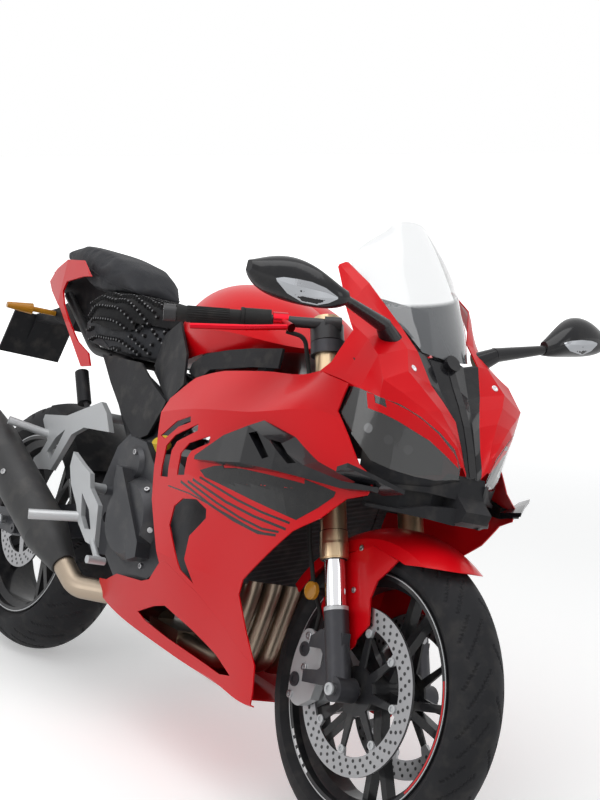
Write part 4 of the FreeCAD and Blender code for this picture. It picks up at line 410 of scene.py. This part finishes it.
def decal(name, node, rows, coat, body="chassis", steps=5, lanes=3, both=True):
    """Thin paint that lies on a panel between two runs of the photograph's pixels."""
    tops = [row[0] for row in rows]
    lows = [row[1] for row in rows]
    count = (len(rows) - 1) * steps
    alone()
    bpy.ops.mesh.primitive_grid_add(x_subdivisions=count, y_subdivisions=lanes, size=1)
    sheet = bpy.context.object
    lost = []
    for vertex in sheet.data.vertices:
        along = (vertex.co.x + 0.5) * (len(rows) - 1)
        index = min(int(along), len(rows) - 2)
        part = along - index
        across = vertex.co.y + 0.5
        top = Vector(tops[index]).lerp(Vector(tops[index + 1]), part)
        low = Vector(lows[index]).lerp(Vector(lows[index + 1]), part)
        pixel = low.lerp(top, across)
        hit = seen(node, pixel.x, pixel.y)
        if hit:
            vertex.co = hit[0] + hit[1] * LIFT
        else:
            lost.append(vertex.index)
    bpy.ops.object.mode_set(mode="EDIT")
    bpy.ops.mesh.select_mode(type="VERT")
    bpy.ops.mesh.select_all(action="DESELECT")
    bpy.ops.object.mode_set(mode="OBJECT")
    for index in lost:
        sheet.data.vertices[index].select = True
    bpy.ops.object.mode_set(mode="EDIT")
    bpy.ops.mesh.delete(type="VERT")
    bpy.ops.mesh.select_all(action="SELECT")
    bpy.ops.mesh.normals_make_consistent(inside=False)
    bpy.ops.object.mode_set(mode="OBJECT")
    first = sheet.data.polygons[0]
    if first.normal.dot(CAMERA_PLACE - first.center) < 0:
        bpy.ops.object.mode_set(mode="EDIT")
        bpy.ops.mesh.select_all(action="SELECT")
        bpy.ops.mesh.flip_normals()
        bpy.ops.object.mode_set(mode="OBJECT")
    if both:
        other = sheet.copy()
        other.data = sheet.data.copy()
        bpy.context.collection.objects.link(other)
        other.data.transform(MIRROR)
        other.data.flip_normals()
        sheet = joined([sheet, other])
    return finished(sheet, name, body, SLOTS[node], coat)


# Tyres with a cut tread

Tyre = namedtuple("Tyre", "node body centre_x radius crown bead rounds cuts")
BEAD_RADIUS = 222.0
CROWN_ANGLE = 65.0
TREAD_DEPTH = 2.6


def tread_depth(tyre, turn, tilt):
    """How deep the tread is cut at a place round the tyre and across its crown, in millimetres."""
    edge = math.radians(CROWN_ANGLE)
    out = abs(tilt) / edge
    if out < 0.06 or out > 0.93:
        return 0.0
    phase = turn / (2 * math.pi) * tyre.cuts + out * 1.25 + (0.5 if tilt > 0 else 0.0)
    long_cut = abs(phase % 1.0 - 0.5)
    short_cut = abs((phase + 0.42) % 1.0 - 0.5)
    width = 0.052 * (1.0 - 0.5 * out)
    if 0.10 < out < 0.74 and long_cut < width:
        return TREAD_DEPTH
    if 0.45 < out < 0.92 and short_cut < width * 0.8:
        return TREAD_DEPTH
    return 0.0


def build_tyre(tyre):
    middle = tyre.radius - tyre.crown
    edge = math.radians(CROWN_ANGLE)
    angles = [edge * (1 - number / 17) for number in range(35)]
    tread = [(tyre.crown * math.sin(angle), middle + tyre.crown * math.cos(angle)) for angle in angles]
    side = tyre.crown * (math.sin(edge) + 1) / 2
    low = (tread[0][1] + BEAD_RADIUS) / 2 + 4
    bulge = tyre.bead + (side - tyre.bead) * 0.62
    wall = [(tyre.bead, BEAD_RADIUS), (tyre.bead, BEAD_RADIUS + 9), (bulge, BEAD_RADIUS + 17), (side, low)]
    hollow = tyre.crown * 0.72
    shoulder = middle + tyre.crown * 0.35
    inner = [
        (-tyre.bead + 10, BEAD_RADIUS), (-hollow, shoulder), (0, tyre.radius - 9),
        (hollow, shoulder), (tyre.bead - 10, BEAD_RADIUS),
    ]
    outline = wall + tread + [(-y, r) for y, r in wall[::-1]] + inner
    mesh = bpy.data.meshes.new(tyre.node + "_outline")
    count = len(outline)
    mesh.from_pydata([(0, y, r) for y, r in outline], [(i, (i + 1) % count) for i in range(count)], [])
    body = bpy.data.objects.new(tyre.node + "_cut", mesh)
    bpy.context.collection.objects.link(body)
    chosen(body)
    bpy.ops.object.mode_set(mode="EDIT")
    bpy.ops.mesh.select_all(action="SELECT")
    bpy.ops.mesh.spin(steps=tyre.rounds, angle=2 * math.pi, center=(0, 0, 0), axis=(0, 1, 0))
    bpy.ops.mesh.select_all(action="SELECT")
    bpy.ops.mesh.remove_doubles(threshold=0.05)
    bpy.ops.mesh.normals_make_consistent(inside=False)
    bpy.ops.object.mode_set(mode="OBJECT")
    for vertex in body.data.vertices:
        out = math.hypot(vertex.co.x, vertex.co.z)
        tilt = math.atan2(vertex.co.y, out - middle)
        if out < middle or abs(math.hypot(vertex.co.y, out - middle) - tyre.crown) > 0.5:
            continue
        depth = tread_depth(tyre, math.atan2(vertex.co.z, vertex.co.x), tilt)
        if depth:
            share = depth / out
            vertex.co.x *= 1 - share * math.cos(tilt)
            vertex.co.z *= 1 - share * math.cos(tilt)
            vertex.co.y -= depth * math.sin(tilt)
    centre = Matrix.Translation((tyre.centre_x / 1000, 0, tyre.radius / 1000))
    body.data.transform(STANDING @ centre @ Matrix.Scale(0.001, 4))
    finished(body, tyre.node + "_tread", tyre.body, "tyre_rubber", "tyre_rubber")
    bpy.ops.object.shade_smooth_by_angle(angle=math.radians(28))
    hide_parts(tyre.node)


build_tyre(Tyre("front_tyre", "front_wheel", 1400.0, 300.0, 60.0, 44.0, 720, 20))
build_tyre(Tyre("rear_tyre", "rear_wheel", 0.0, 315.0, 90.0, 68.0, 720, 20))

# Discs: drilled holes and floating bobbins

ACROSS = (upright(0, 1, 0) - upright(0, 0, 0)).normalized()


def round_axle(centre_x, centre_z, radius, turn, y):
    return upright(centre_x + radius * math.cos(turn), y, centre_z + radius * math.sin(turn))


def drilled(name, centre, faces, rows, body, slot):
    alone()
    bpy.ops.mesh.primitive_circle_add(vertices=10, radius=0.0036, fill_type="NGON")
    seed = bpy.context.object
    frames = []
    for y, way in faces:
        for radius, count, shift in rows:
            for index in range(count):
                turn = (index + shift) * 2 * math.pi / count
                place = round_axle(centre[0], centre[1], radius, turn, y + way * 0.25)
                frames.append(facing(place, ACROSS * way))
    finished(scattered(seed, frames), name, body, slot, "black_carrier")


disc_faces = [(y, way) for y, way in ((68.5, 1), (63.5, -1), (-68.5, -1), (-63.5, 1))]
FRONT_HOLES = ((129, 40, 0.0), (140, 40, 0.33), (151, 40, 0.66))
REAR_HOLES = ((86, 24, 0.0), (96, 24, 0.33), (106, 24, 0.66))
REAR_DISC_FACES = [(-78.5, -1), (-73.5, 1)]
drilled("front_disc_holes", (1400, 300), disc_faces, FRONT_HOLES, "front_wheel", "disc_steel")
drilled("rear_disc_holes", (0, 315), REAR_DISC_FACES, REAR_HOLES, "rear_wheel", "disc_steel")
bobbin_frames = []
for y, way in ((68.5, 1), (-68.5, -1)):
    for index in range(8):
        place = round_axle(1400, 300, 112, index * math.pi / 4, y)
        bobbin_frames.append(facing(place, ACROSS * way, 0.0004))
bobbins = scattered(bolt(0.0085, 0.003), bobbin_frames)
finished(bobbins, "disc_bobbins", "front_wheel", "disc_steel", "silver_casting")

# Fasteners


def fasteners(name, body, slot, coat, radius, height, spots, both=True):
    """Screws or bolts seated on the surfaces named, at places seen in the photograph."""
    frames = []
    for node, px, py in spots:
        hit = seen(node, px, py)
        if hit is None:
            continue
        frames.append(facing(hit[0], hit[1], 0.0006))
        if both:
            there = MIRROR @ hit[0]
            way = (MIRROR.to_3x3() @ hit[1]).normalized()
            frames.append(facing(there, way, 0.0006))
    if frames:
        finished(scattered(bolt(radius, height), frames), name, body, slot, coat)


fasteners("nose_screws", "chassis", "axle_steel", "chrome_tube", 0.0068, 0.0024, [
    ("nose_fairing", 413.6, 368.4),
])
fasteners("side_screws", "chassis", "axle_steel", "axle_steel", 0.006, 0.0022, [
    ("side_fairings", 172, 610), ("side_fairings", 352, 272), ("side_fairings", 122, 585),
])
fasteners("guard_screws", "front_end", "axle_steel", "axle_steel", 0.006, 0.0026, [
    ("front_mudguard", 354, 590), ("front_mudguard", 362, 548),
])
fasteners("engine_bolts", "chassis", "engine_metal", "axle_steel", 0.0062, 0.0045, [
    ("engine_covers", 118, 452), ("engine_covers", 136, 452), ("engine_covers", 147, 490),
    ("engine_covers", 150, 530), ("engine_covers", 141, 566), ("engine_covers", 118, 572),
    ("engine_covers", 104, 540), ("engine_covers", 104, 500),
], both=False)


def side_bolts(name, node, body, slot, coat, radius, height, spots, sides=(-1,), sink=0.0006):
    frames = []
    for x, z in spots:
        for side in sides:
            hit = from_side(node, x, z, side)
            if hit:
                frames.append(facing(hit[0], hit[1], sink))
    if frames:
        finished(scattered(bolt(radius, height), frames), name, body, slot, coat)


BOTH_SIDES = (-1, 1)
CALIPER_BOLTS = [(1256, 366), (1240, 244), (1264, 305)]
CALIPER_PISTONS = [(1252, 338), (1243, 275)]
SideBolts = namedtuple("SideBolts", "name node body slot coat radius height spots sides")
for row in (
    SideBolts("caliper_bolts", "front_calipers", "front_end", "silver_casting", "axle_steel",
              0.0075, 0.004, CALIPER_BOLTS, BOTH_SIDES),
    SideBolts("caliper_pistons", "front_calipers", "front_end", "silver_casting", "dark_casting",
              0.0145, 0.003, CALIPER_PISTONS, BOTH_SIDES),
    SideBolts("axle_nuts", "front_axle", "front_end", "axle_steel", "silver_casting",
              0.012, 0.004, [(1400, 300)], BOTH_SIDES),
    SideBolts("pivot_bolts", "swingarm_axles", "chassis", "axle_steel", "silver_casting",
              0.013, 0.004, [(0, 315)], BOTH_SIDES),
    SideBolts("silencer_screws", "silencer", "chassis", "silencer_metal", "axle_steel",
              0.007, 0.003, [(172, 455)], (-1,)),
):
    side_bolts(*row)

# Fork rings, reflectors, mirror lenses and lamp insides

RAKE = math.radians(24.5)
UP_FORK = Vector((-math.sin(RAKE), 0, math.cos(RAKE)))
LEG_FOOT = Vector((1392.345, 0, 296.512))
LEG_OFFSET = 102.0


def fork_ring(name, along, outer, inner, height, coat, slot):
    """A ring round both fork legs, at a height along the leg in millimetres."""
    frames = []
    for side in (-1, 1):
        low = LEG_FOOT + UP_FORK * along + Vector((0, side * LEG_OFFSET, 0))
        foot = upright(*low)
        head = upright(*(low + UP_FORK * 100))
        frames.append(facing(foot, (head - foot).normalized()))
    finished(scattered(ring(outer, inner, height), frames), name, "front_end", slot, coat)


fork_ring("fork_wipers", 246.5, 0.0275, 0.0208, 0.006, "black_plastic", "gold_tube")
fork_ring("fork_collars", 252.5, 0.0285, 0.0259, 0.026, "gold_tube", "gold_tube")
fork_ring("fork_clips", 279.0, 0.0280, 0.0259, 0.003, "black_plastic", "gold_tube")
fork_ring("fork_collars_upper", 284.0, 0.0275, 0.0259, 0.018, "gold_tube", "gold_tube")
fork_ring("fork_clips_upper", 303.0, 0.0272, 0.0259, 0.003, "black_plastic", "gold_tube")
fork_ring("fork_foot_rings", 150.0, 0.0240, 0.0208, 0.007, "silver_casting", "dark_casting")


REFLECTOR = Vector((1262.0, 114.0, 455.0))


def reflectors():
    """A round amber reflector beside each fork leg, on a stem from the mudguard."""
    alone()
    bpy.ops.mesh.primitive_cylinder_add(vertices=40, radius=0.0180, depth=0.008, location=(0, 0, 0.004))
    disc = bpy.context.object
    bpy.ops.object.transform_apply(location=True)
    for face in disc.data.polygons:
        face.select = face.normal.z > 0.9
    bpy.ops.object.mode_set(mode="EDIT")
    bpy.ops.mesh.select_mode(type="FACE")
    bpy.ops.mesh.inset(thickness=0.0022, depth=0.0018)
    bpy.ops.mesh.inset(thickness=0.0010, depth=-0.0008)
    bpy.ops.object.mode_set(mode="OBJECT")
    discs = []
    stems = []
    for side in (-1, 1):
        centre = upright(REFLECTOR.x, side * REFLECTOR.y, REFLECTOR.z)
        discs.append(facing(centre, ACROSS * side))
        root = from_side("front_mudguard", REFLECTOR.x, REFLECTOR.z, side)[0] - ACROSS * side * 0.001
        length = (centre - root).length + 0.002
        alone()
        middle = (0, 0, length / 2)
        bpy.ops.mesh.primitive_cone_add(
            vertices=16, radius1=0.0095, radius2=0.0060, depth=length, location=middle
        )
        stem = bpy.context.object
        bpy.ops.object.transform_apply(location=True)
        stem.data.transform(facing(root, (centre - root).normalized()))
        stems.append(stem)
    finished(scattered(disc, discs), "fork_reflectors", "front_end", "amber", "amber")
    finished(joined(stems), "reflector_stems", "front_end", "black_plastic", "black_plastic")


reflectors()

# Seat, cushion and hump in padded covers


def cover_copy(node, shrink):
    """A merged copy of a soft node's solid, drawn in a little so that it can swell."""
    mesh = nodes[node].data.copy()
    thing = bpy.data.objects.new(node + "_cover", mesh)
    bpy.context.collection.objects.link(thing)
    chosen(thing)
    bpy.ops.object.mode_set(mode="EDIT")
    bpy.ops.mesh.select_all(action="SELECT")
    bpy.ops.mesh.remove_doubles(threshold=0.0002)
    bpy.ops.mesh.normals_make_consistent(inside=False)
    bpy.ops.object.mode_set(mode="OBJECT")
    remesh = thing.modifiers.new("even", "REMESH")
    remesh.mode = "VOXEL"
    remesh.voxel_size = 0.006
    bpy.ops.object.modifier_apply(modifier="even")
    smooth = thing.modifiers.new("soften", "SMOOTH")
    smooth.iterations = 8
    bpy.ops.object.modifier_apply(modifier="soften")
    inward = thing.modifiers.new("draw_in", "DISPLACE")
    inward.mid_level = 0.0
    inward.strength = -shrink
    bpy.ops.object.modifier_apply(modifier="draw_in")
    return thing


def swollen(thing, most):
    """Foam under its cover: cloth pressed out from inside, no point moving further than allowed."""
    rest = [vertex.co.copy() for vertex in thing.data.vertices]
    chosen(thing)
    cloth = thing.modifiers.new("foam", "CLOTH")
    cloth.settings.use_pressure = True
    cloth.settings.uniform_pressure_force = 4.0
    cloth.settings.quality = 5
    cloth.settings.effector_weights.gravity = 0.0
    cloth.point_cache.frame_start = 1
    cloth.point_cache.frame_end = 20
    scene = bpy.context.scene
    for frame_number in range(1, 21):
        scene.frame_set(frame_number)
    bpy.ops.object.modifier_apply(modifier="foam")
    scene.frame_set(1)
    for vertex, start in zip(thing.data.vertices, rest):
        move = vertex.co - start
        if move.length > most:
            vertex.co = start + move.normalized() * most


def padded_cover(node, name, coat, shrink, most):
    thing = cover_copy(node, shrink)
    swollen(thing, most)
    chosen(thing)
    bpy.ops.object.shade_smooth()
    finished(thing, name, "chassis", SLOTS[node], coat)
    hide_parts(node)
    return thing


saddle = padded_cover("rider_seat", "rider_seat_cover", "seat_cover", 0.003, 0.004)
hump = padded_cover("pillion_seat", "pillion_seat_cover", "seat_cover", 0.003, 0.004)
cushion = padded_cover("seat_pad", "seat_pad_cover", "pad_mesh", 0.004, 0.005)


NUB_LANES = 26
NUB_TURN = 4.1
NUB_STEP = 12.6
NUB_REACH = 320.0
NUB_MIDDLE = 690.0
NUB_LOWEST = 752.0


def nub_rows():
    """Slanting rows of small raised nubs over the cushion and the top of the saddle's sides."""
    alone()
    bpy.ops.mesh.primitive_cone_add(
        vertices=7, radius1=0.0056, radius2=0.0034, depth=0.011, location=(0, 0, 0.0045)
    )
    nub = bpy.context.object
    bpy.ops.object.transform_apply(location=True)
    for face in nub.data.polygons:
        face.select = face.normal.z > 0.9
    bpy.ops.object.mode_set(mode="EDIT")
    bpy.ops.mesh.select_mode(type="FACE")
    bpy.ops.mesh.inset(thickness=0.0007, depth=0.0008)
    bpy.ops.object.mode_set(mode="OBJECT")
    highlight_tips = [face.index for face in nub.data.polygons if face.normal.z > 0.9]
    covers = [faces_of(cover.data) for cover in (cushion, saddle)]
    low_x = (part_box("seat_pad")[0][0] + ROW_ORIGIN.x) * 1000
    high_x = (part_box("seat_pad")[1][0] + ROW_ORIGIN.x) * 1000
    frames = []
    for lane in range(-NUB_LANES, NUB_LANES + 1):
        turn = math.radians(lane * NUB_TURN)
        for number in range(int((high_x - low_x) / NUB_STEP)):
            x = low_x + 12 + number * NUB_STEP + (lane % 2) * NUB_STEP / 2 + abs(lane) * 1.5
            start = upright(x, NUB_REACH * math.sin(turn), NUB_MIDDLE + NUB_REACH * math.cos(turn))
            way = (upright(x, 0, NUB_MIDDLE) - start).normalized()
            hits = [cover.ray_cast(start, way) for cover in covers]
            hits = [hit for hit in hits if hit[0] is not None]
            if not hits:
                continue
            place, normal, _, distance = min(hits, key=lambda hit: hit[3])
            height = NUB_MIDDLE + (NUB_REACH - distance * 1000) * math.cos(turn)
            if height < NUB_LOWEST or normal.dot(way) > -0.35:
                continue
            frames.append(facing(place, normal, 0.001))
    nub.data.materials.append(materials["pad_mesh"])
    # The flat tip of each nub takes the pale grey: a painted highlight on every nub.
    nub.data.materials.append(materials["nub_painted_highlight"])
    for index in highlight_tips:
        nub.data.polygons[index].material_index = 1
    field = scattered(nub, frames)
    chosen(field)
    bpy.ops.object.transform_apply(location=True, rotation=True, scale=True)
    field.name = "seat_pad_nubs"
    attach(field, "chassis")


nub_rows()



def seam(name, cover, pixels, thick, coat):
    """A sewn edge: a fine cord along a line of pixels on a cover, half sunk into it."""
    faces = faces_of(cover.data)
    places = []
    for start, end in zip(pixels, pixels[1:]):
        for number in range(8):
            pixel = Vector(start).lerp(Vector(end), number / 8)
            place = faces.ray_cast(CAMERA_PLACE, sight(pixel.x, pixel.y))[0]
            if place is not None:
                places.append(place)
    if len(places) < 4:
        return
    alone()
    bpy.ops.curve.primitive_nurbs_path_add()
    line = bpy.context.object
    line.data.splines.clear()
    spline = line.data.splines.new("NURBS")
    spline.points.add(len(places) - 1)
    for point, place in zip(spline.points, places):
        point.co = (*place, 1.0)
    spline.order_u = 4
    spline.use_endpoint_u = True
    line.data.bevel_depth = thick
    line.data.bevel_resolution = 3
    line.data.use_fill_caps = True
    chosen(line)
    bpy.ops.object.convert(target="MESH")
    finished(bpy.context.object, name, "chassis", "seat_cover", coat)


HUMP_SEAM = [(84, 264), (108, 282), (140, 294), (170, 303)]
SADDLE_SEAM = [(96, 332), (112, 350), (136, 358), (160, 362), (176, 358)]
seam("hump_seam", hump, HUMP_SEAM, 0.0016, "seat_cover")
seam("saddle_seam", saddle, SADDLE_SEAM, 0.0018, "seat_cover")

# Mirror glass, lamp insides and grip ribs


MIRROR_RIGHT = [
    ((276, 278), (277, 281)), ((284, 277), (287, 293)), ((298, 279), (302, 302)),
    ((312, 282), (317, 305)), ((326, 288), (329, 303)), ((338, 297), (338, 299)),
]
MIRROR_LEFT = [
    ((564, 343), (565, 345)), ((570, 341), (570, 351)), ((582, 340), (582, 355)),
    ((592, 341), (591, 351)), ((597, 343), (597, 345)),
]
decal("mirror_glass_right", "mirrors", MIRROR_RIGHT, "mirror_glass", both=False)
decal("mirror_glass_left", "mirrors", MIRROR_LEFT, "mirror_glass", both=False)

# Red edge above the lamps, the far lamp's dark rim and the seal at the foot of the screen

decal("far_lamp_rim", "headlamps", [
    ((505, 441), (511, 446)), ((501, 451), (508, 457)), ((496, 462), (504, 468)),
    ((491, 473), (499, 478)), ((486, 484), (493, 489)),
], "black_gloss", both=False)


def screen_seal():
    """A dark sheet that closes the corner between the screen's foot, the spine and each nose half."""
    spots = (
        ("windscreen", 456, 338), ("nose_fairing", 473, 342),
        ("nose_fairing", 474, 368), ("nose_spine", 456, 366),
    )
    corners = [seen(node, px, py) for node, px, py in spots]
    if None in corners:
        return
    alone()
    bpy.ops.mesh.primitive_grid_add(x_subdivisions=6, y_subdivisions=6, size=1)
    sheet = bpy.context.object
    inward = sight(465, 352) * 0.003
    for vertex in sheet.data.vertices:
        across = vertex.co.x + 0.5
        down = 0.5 - vertex.co.y
        top = corners[0][0].lerp(corners[1][0], across)
        low = corners[3][0].lerp(corners[2][0], across)
        vertex.co = top.lerp(low, down) + inward
    wall = sheet.modifiers.new("wall", "SOLIDIFY")
    wall.thickness = 0.0016
    chosen(sheet)
    bpy.ops.object.modifier_apply(modifier="wall")
    other = sheet.copy()
    other.data = sheet.data.copy()
    bpy.context.collection.objects.link(other)
    other.data.transform(MIRROR)
    other.data.flip_normals()
    finished(joined([sheet, other]), "screen_seals", "chassis", "black_gloss", "black_gloss")


screen_seal()

decal("lamp_brow", "headlamps", [
    ((366, 384), (368, 408)), ((378, 388), (382, 413)), ((392, 394), (398, 421)), ((406, 400), (414, 431)),
    ((420, 410), (430, 441)), ((436, 424), (445, 455)), ((450, 444), (458, 468)), ((458, 462), (464, 476)),
], "red_panel")

def lamp_insides():
    """A projector lens in a ring and two small reflectors behind each smoked lens."""
    frames = []
    for px, py, deep in ((388, 440, 0.014), (368, 428, 0.010), (408, 450, 0.014)):
        hit = seen("headlamps", px, py)
        if hit is None:
            continue
        place = hit[0] - hit[1] * deep
        frames.append(facing(place, hit[1]))
        frames.append(facing(MIRROR @ place, (MIRROR.to_3x3() @ hit[1]).normalized()))
    rings = scattered(ring(0.019, 0.013, 0.016), frames)
    finished(rings, "lamp_reflectors", "chassis", "silver_casting", "lamp_chrome")


lamp_insides()


LAMP_DEPTH = -0.052
LAMP_NARROWER = 0.93


def lamp_backs():
    """A dark shell that closes each lamp behind its lens, smaller than the lens and set in from it."""
    mesh = nodes["headlamps"].data.copy()
    shell = bpy.data.objects.new("lamp_back", mesh)
    bpy.context.collection.objects.link(shell)
    chosen(shell)
    bpy.ops.object.mode_set(mode="EDIT")
    bpy.ops.mesh.select_all(action="SELECT")
    bpy.ops.mesh.remove_doubles(threshold=0.0002)
    bpy.ops.mesh.normals_make_consistent(inside=False)
    bpy.ops.object.mode_set(mode="OBJECT")
    inward = Matrix.Translation((LAMP_DEPTH, 0, 0.0)) @ Matrix.Diagonal((1.0, LAMP_NARROWER, 1.0, 1.0))
    shell.data.transform(STANDING @ inward @ STANDING.inverted())
    finished(shell, "lamp_backs", "chassis", "black_plastic", "black_plastic")


lamp_backs()


GRIP_INNER = Vector((1006.0, 282.0, 933.3))
GRIP_OUTER = Vector((964.0, 354.0, 919.6))
GRIP_RIBS = 22


def grip_ribs():
    """Fine ribs along each grip between its two smooth ends."""
    frames = []
    for side in (-1, 1):
        inner = upright(GRIP_INNER.x, side * GRIP_INNER.y, GRIP_INNER.z)
        outer = upright(GRIP_OUTER.x, side * GRIP_OUTER.y, GRIP_OUTER.z)
        axis = facing((inner + outer) / 2, (outer - inner).normalized())
        for number in range(GRIP_RIBS):
            turn = math.tau * number / GRIP_RIBS
            frames.append(axis @ Matrix.Rotation(turn, 4, "Z") @ Matrix.Translation((0.0160, 0, 0)))
    length = (GRIP_OUTER - GRIP_INNER).length / 1000
    alone()
    bpy.ops.mesh.primitive_cylinder_add(vertices=6, radius=0.0012, depth=length)
    rib = bpy.context.object
    bevel = rib.modifiers.new("round", "BEVEL")
    bevel.width = 0.0003
    bevel.segments = 1
    chosen(rib)
    bpy.ops.object.modifier_apply(modifier="round")
    finished(scattered(rib, frames), "grip_ribs", "front_end", "grip_rubber", "grip_rubber")


grip_ribs()

# Stripes on the rims


def rim_stripe(name, centre, side, y, radius, wide, start, end, coat, body):
    """A painted band on the outer lip of a rim, between two turns in degrees."""
    count = max(6, int((end - start) / 3))
    alone()
    bpy.ops.mesh.primitive_grid_add(x_subdivisions=count, y_subdivisions=1, size=1)
    band = bpy.context.object
    for vertex in band.data.vertices:
        turn = math.radians(start + (end - start) * (vertex.co.x + 0.5))
        reach = radius + wide * vertex.co.y
        vertex.co = upright(centre[0] + reach * math.cos(turn), y, centre[1] + reach * math.sin(turn))
    if band.data.polygons[0].normal.dot(ACROSS * side) < 0:
        band.data.flip_normals()
    finished(band, name, body, "black_wheel", coat)


FRONT_AXLE = (1400, 300)
REAR_AXLE = (0, 315)
FRONT_RIM_FACE = 49.3
REAR_RIM_FACE = 73.3
LINE_RADIUS = 226.0
MARK_RADIUS = 221.5
FIRST_BAR = 216
BAR_STEP = 5.5
BAR_TURN = 3.6
for side, word in ((-1, "right"), (1, "left")):
    front = side * FRONT_RIM_FACE
    rear = side * REAR_RIM_FACE
    rim_stripe(f"front_rim_line_{word}", FRONT_AXLE, side, front, LINE_RADIUS, 2.2, 0, 360,
               "silver_casting", "front_wheel")
    rim_stripe(f"rear_rim_line_{word}", REAR_AXLE, side, rear, LINE_RADIUS, 2.2, 0, 360,
               "silver_casting", "rear_wheel")
    for number in range(5):
        begin = FIRST_BAR + number * BAR_STEP
        rim_stripe(f"front_rim_white_{word}_{number}", FRONT_AXLE, side, front, MARK_RADIUS, 6.0,
                   begin, begin + BAR_TURN, "white_paint", "front_wheel")
    rim_stripe(f"front_rim_red_{word}", FRONT_AXLE, side, front, MARK_RADIUS, 4.0, -38, 22,
               "red_mark", "front_wheel")

# Marks on the panels

stripe_rows = [
    ([(168.5, 485), (190, 493), (226, 513), (254, 529), (272, 535)], 1.1),
    ([(181, 480), (210, 503), (234, 519), (258, 531.5), (276, 534)], 2.6),
    ([(188, 480), (216, 501), (240, 516.5), (262, 527.5), (279, 531)], 2.3),
    ([(193, 478), (226, 500.5), (254, 515), (286, 528)], 2.6),
    ([(200, 476), (238, 499), (262, 511), (290, 522)], 2.3),
]
for number, (run, width) in enumerate(stripe_rows):
    band = [((px, py), (px - 0.4, py + width)) for px, py in run]
    decal(f"side_stripe_{number}", "side_fairings", band, "black_paint", steps=6, lanes=2)
decal("side_panel_dark", "side_fairings", [
    ((200, 470), (205, 477)), ((214, 466), (226, 487)), ((240, 464), (252, 500)), ((262, 468), (278, 512)),
    ((296, 476), (296, 520)), ((322, 486), (318, 508)), ((336, 492), (334, 497)),
], "black_paint", steps=6, lanes=8)


def looking(network):
    """One for rays from the camera, from gloss and through glass, nought for the light on the object."""
    path = network.nodes.new("ShaderNodeLightPath")
    total = path.outputs["Is Camera Ray"]
    for name in ("Is Glossy Ray", "Is Transmission Ray"):
        more = network.nodes.new("ShaderNodeMath")
        more.operation = "MAXIMUM"
        network.links.new(total, more.inputs[0])
        network.links.new(path.outputs[name], more.inputs[1])
        total = more.outputs[0]
    return total


# Floor, light and camera

bpy.ops.mesh.primitive_plane_add(size=60, location=(0, 0, -0.0006))
floor = bpy.context.object
floor.name = "floor"
pale = bpy.data.materials.new("pale_floor")
pale.use_nodes = True
pale_shader = pale.node_tree.nodes["Principled BSDF"]
pale_shader.inputs["Base Color"].default_value = (0.86, 0.86, 0.85, 1.0)
pale_shader.inputs["Roughness"].default_value = 0.9
pale_shader.inputs["Emission Color"].default_value = (1.0, 1.0, 1.0, 1.0)
pale_nodes = pale.node_tree.nodes
pale_links = pale.node_tree.links
floor_place = pale_nodes.new("ShaderNodeTexCoord")
floor_reach = pale_nodes.new("ShaderNodeVectorMath")
floor_reach.operation = "LENGTH"
pale_links.new(floor_place.outputs["Object"], floor_reach.inputs[0])
fade = pale_nodes.new("ShaderNodeMapRange")
fade.interpolation_type = "SMOOTHSTEP"
fade.inputs["From Min"].default_value = 1.6
fade.inputs["From Max"].default_value = 6.0
fade.inputs["To Min"].default_value = 0.34
fade.inputs["To Max"].default_value = 1.0
pale_links.new(floor_reach.outputs["Value"], fade.inputs["Value"])
floor_glow = pale_nodes.new("ShaderNodeMath")
floor_glow.operation = "MULTIPLY"
pale_links.new(looking(pale.node_tree), floor_glow.inputs[0])
pale_links.new(fade.outputs["Result"], floor_glow.inputs[1])
pale_links.new(floor_glow.outputs["Value"], pale_shader.inputs["Emission Strength"])
floor.data.materials.append(pale)

SKY_STRENGTH = 0.5
world = bpy.data.worlds.new("studio")
bpy.context.scene.world = world
world.use_nodes = True
sky = world.node_tree
background = sky.nodes["Background"]
tone = sky.nodes.new("ShaderNodeMix")
tone.data_type = "RGBA"
tone.inputs["A"].default_value = (0.74, 0.76, 0.78, 1.0)
tone.inputs["B"].default_value = (1.0 / SKY_STRENGTH, 1.0 / SKY_STRENGTH, 1.0 / SKY_STRENGTH, 1.0)
sky.links.new(looking(sky), tone.inputs["Factor"])
sky.links.new(tone.outputs["Result"], background.inputs["Color"])
background.inputs["Strength"].default_value = SKY_STRENGTH

Lamp = namedtuple("Lamp", "name place aim size power")
for lamp in (
    Lamp("overhead", (0.6, -0.8, 4.2), (0.0, 0.0, 0.5), 3.6, 95.0),
    Lamp("right_side", (0.4, -4.4, 2.2), (0.0, 0.0, 0.6), 2.2, 26.0),
    Lamp("front", (4.6, 0.6, 2.4), (0.2, 0.0, 0.6), 1.8, 18.0),
):
    bpy.ops.object.light_add(type="AREA", location=lamp.place)
    light = bpy.context.object
    light.name = lamp.name
    light.data.size = lamp.size
    light.data.energy = lamp.power
    light.rotation_euler = (Vector(lamp.aim) - Vector(lamp.place)).to_track_quat("-Z", "Y").to_euler()

bpy.ops.object.camera_add(location=CAMERA_PLACE)
camera = bpy.context.object
camera.rotation_mode = "QUATERNION"
camera.rotation_quaternion = CAMERA_TURN
camera.data.lens = LENS
camera.data.sensor_width = SENSOR
bpy.context.scene.camera = camera
bpy.context.scene.view_settings.view_transform = "Standard"
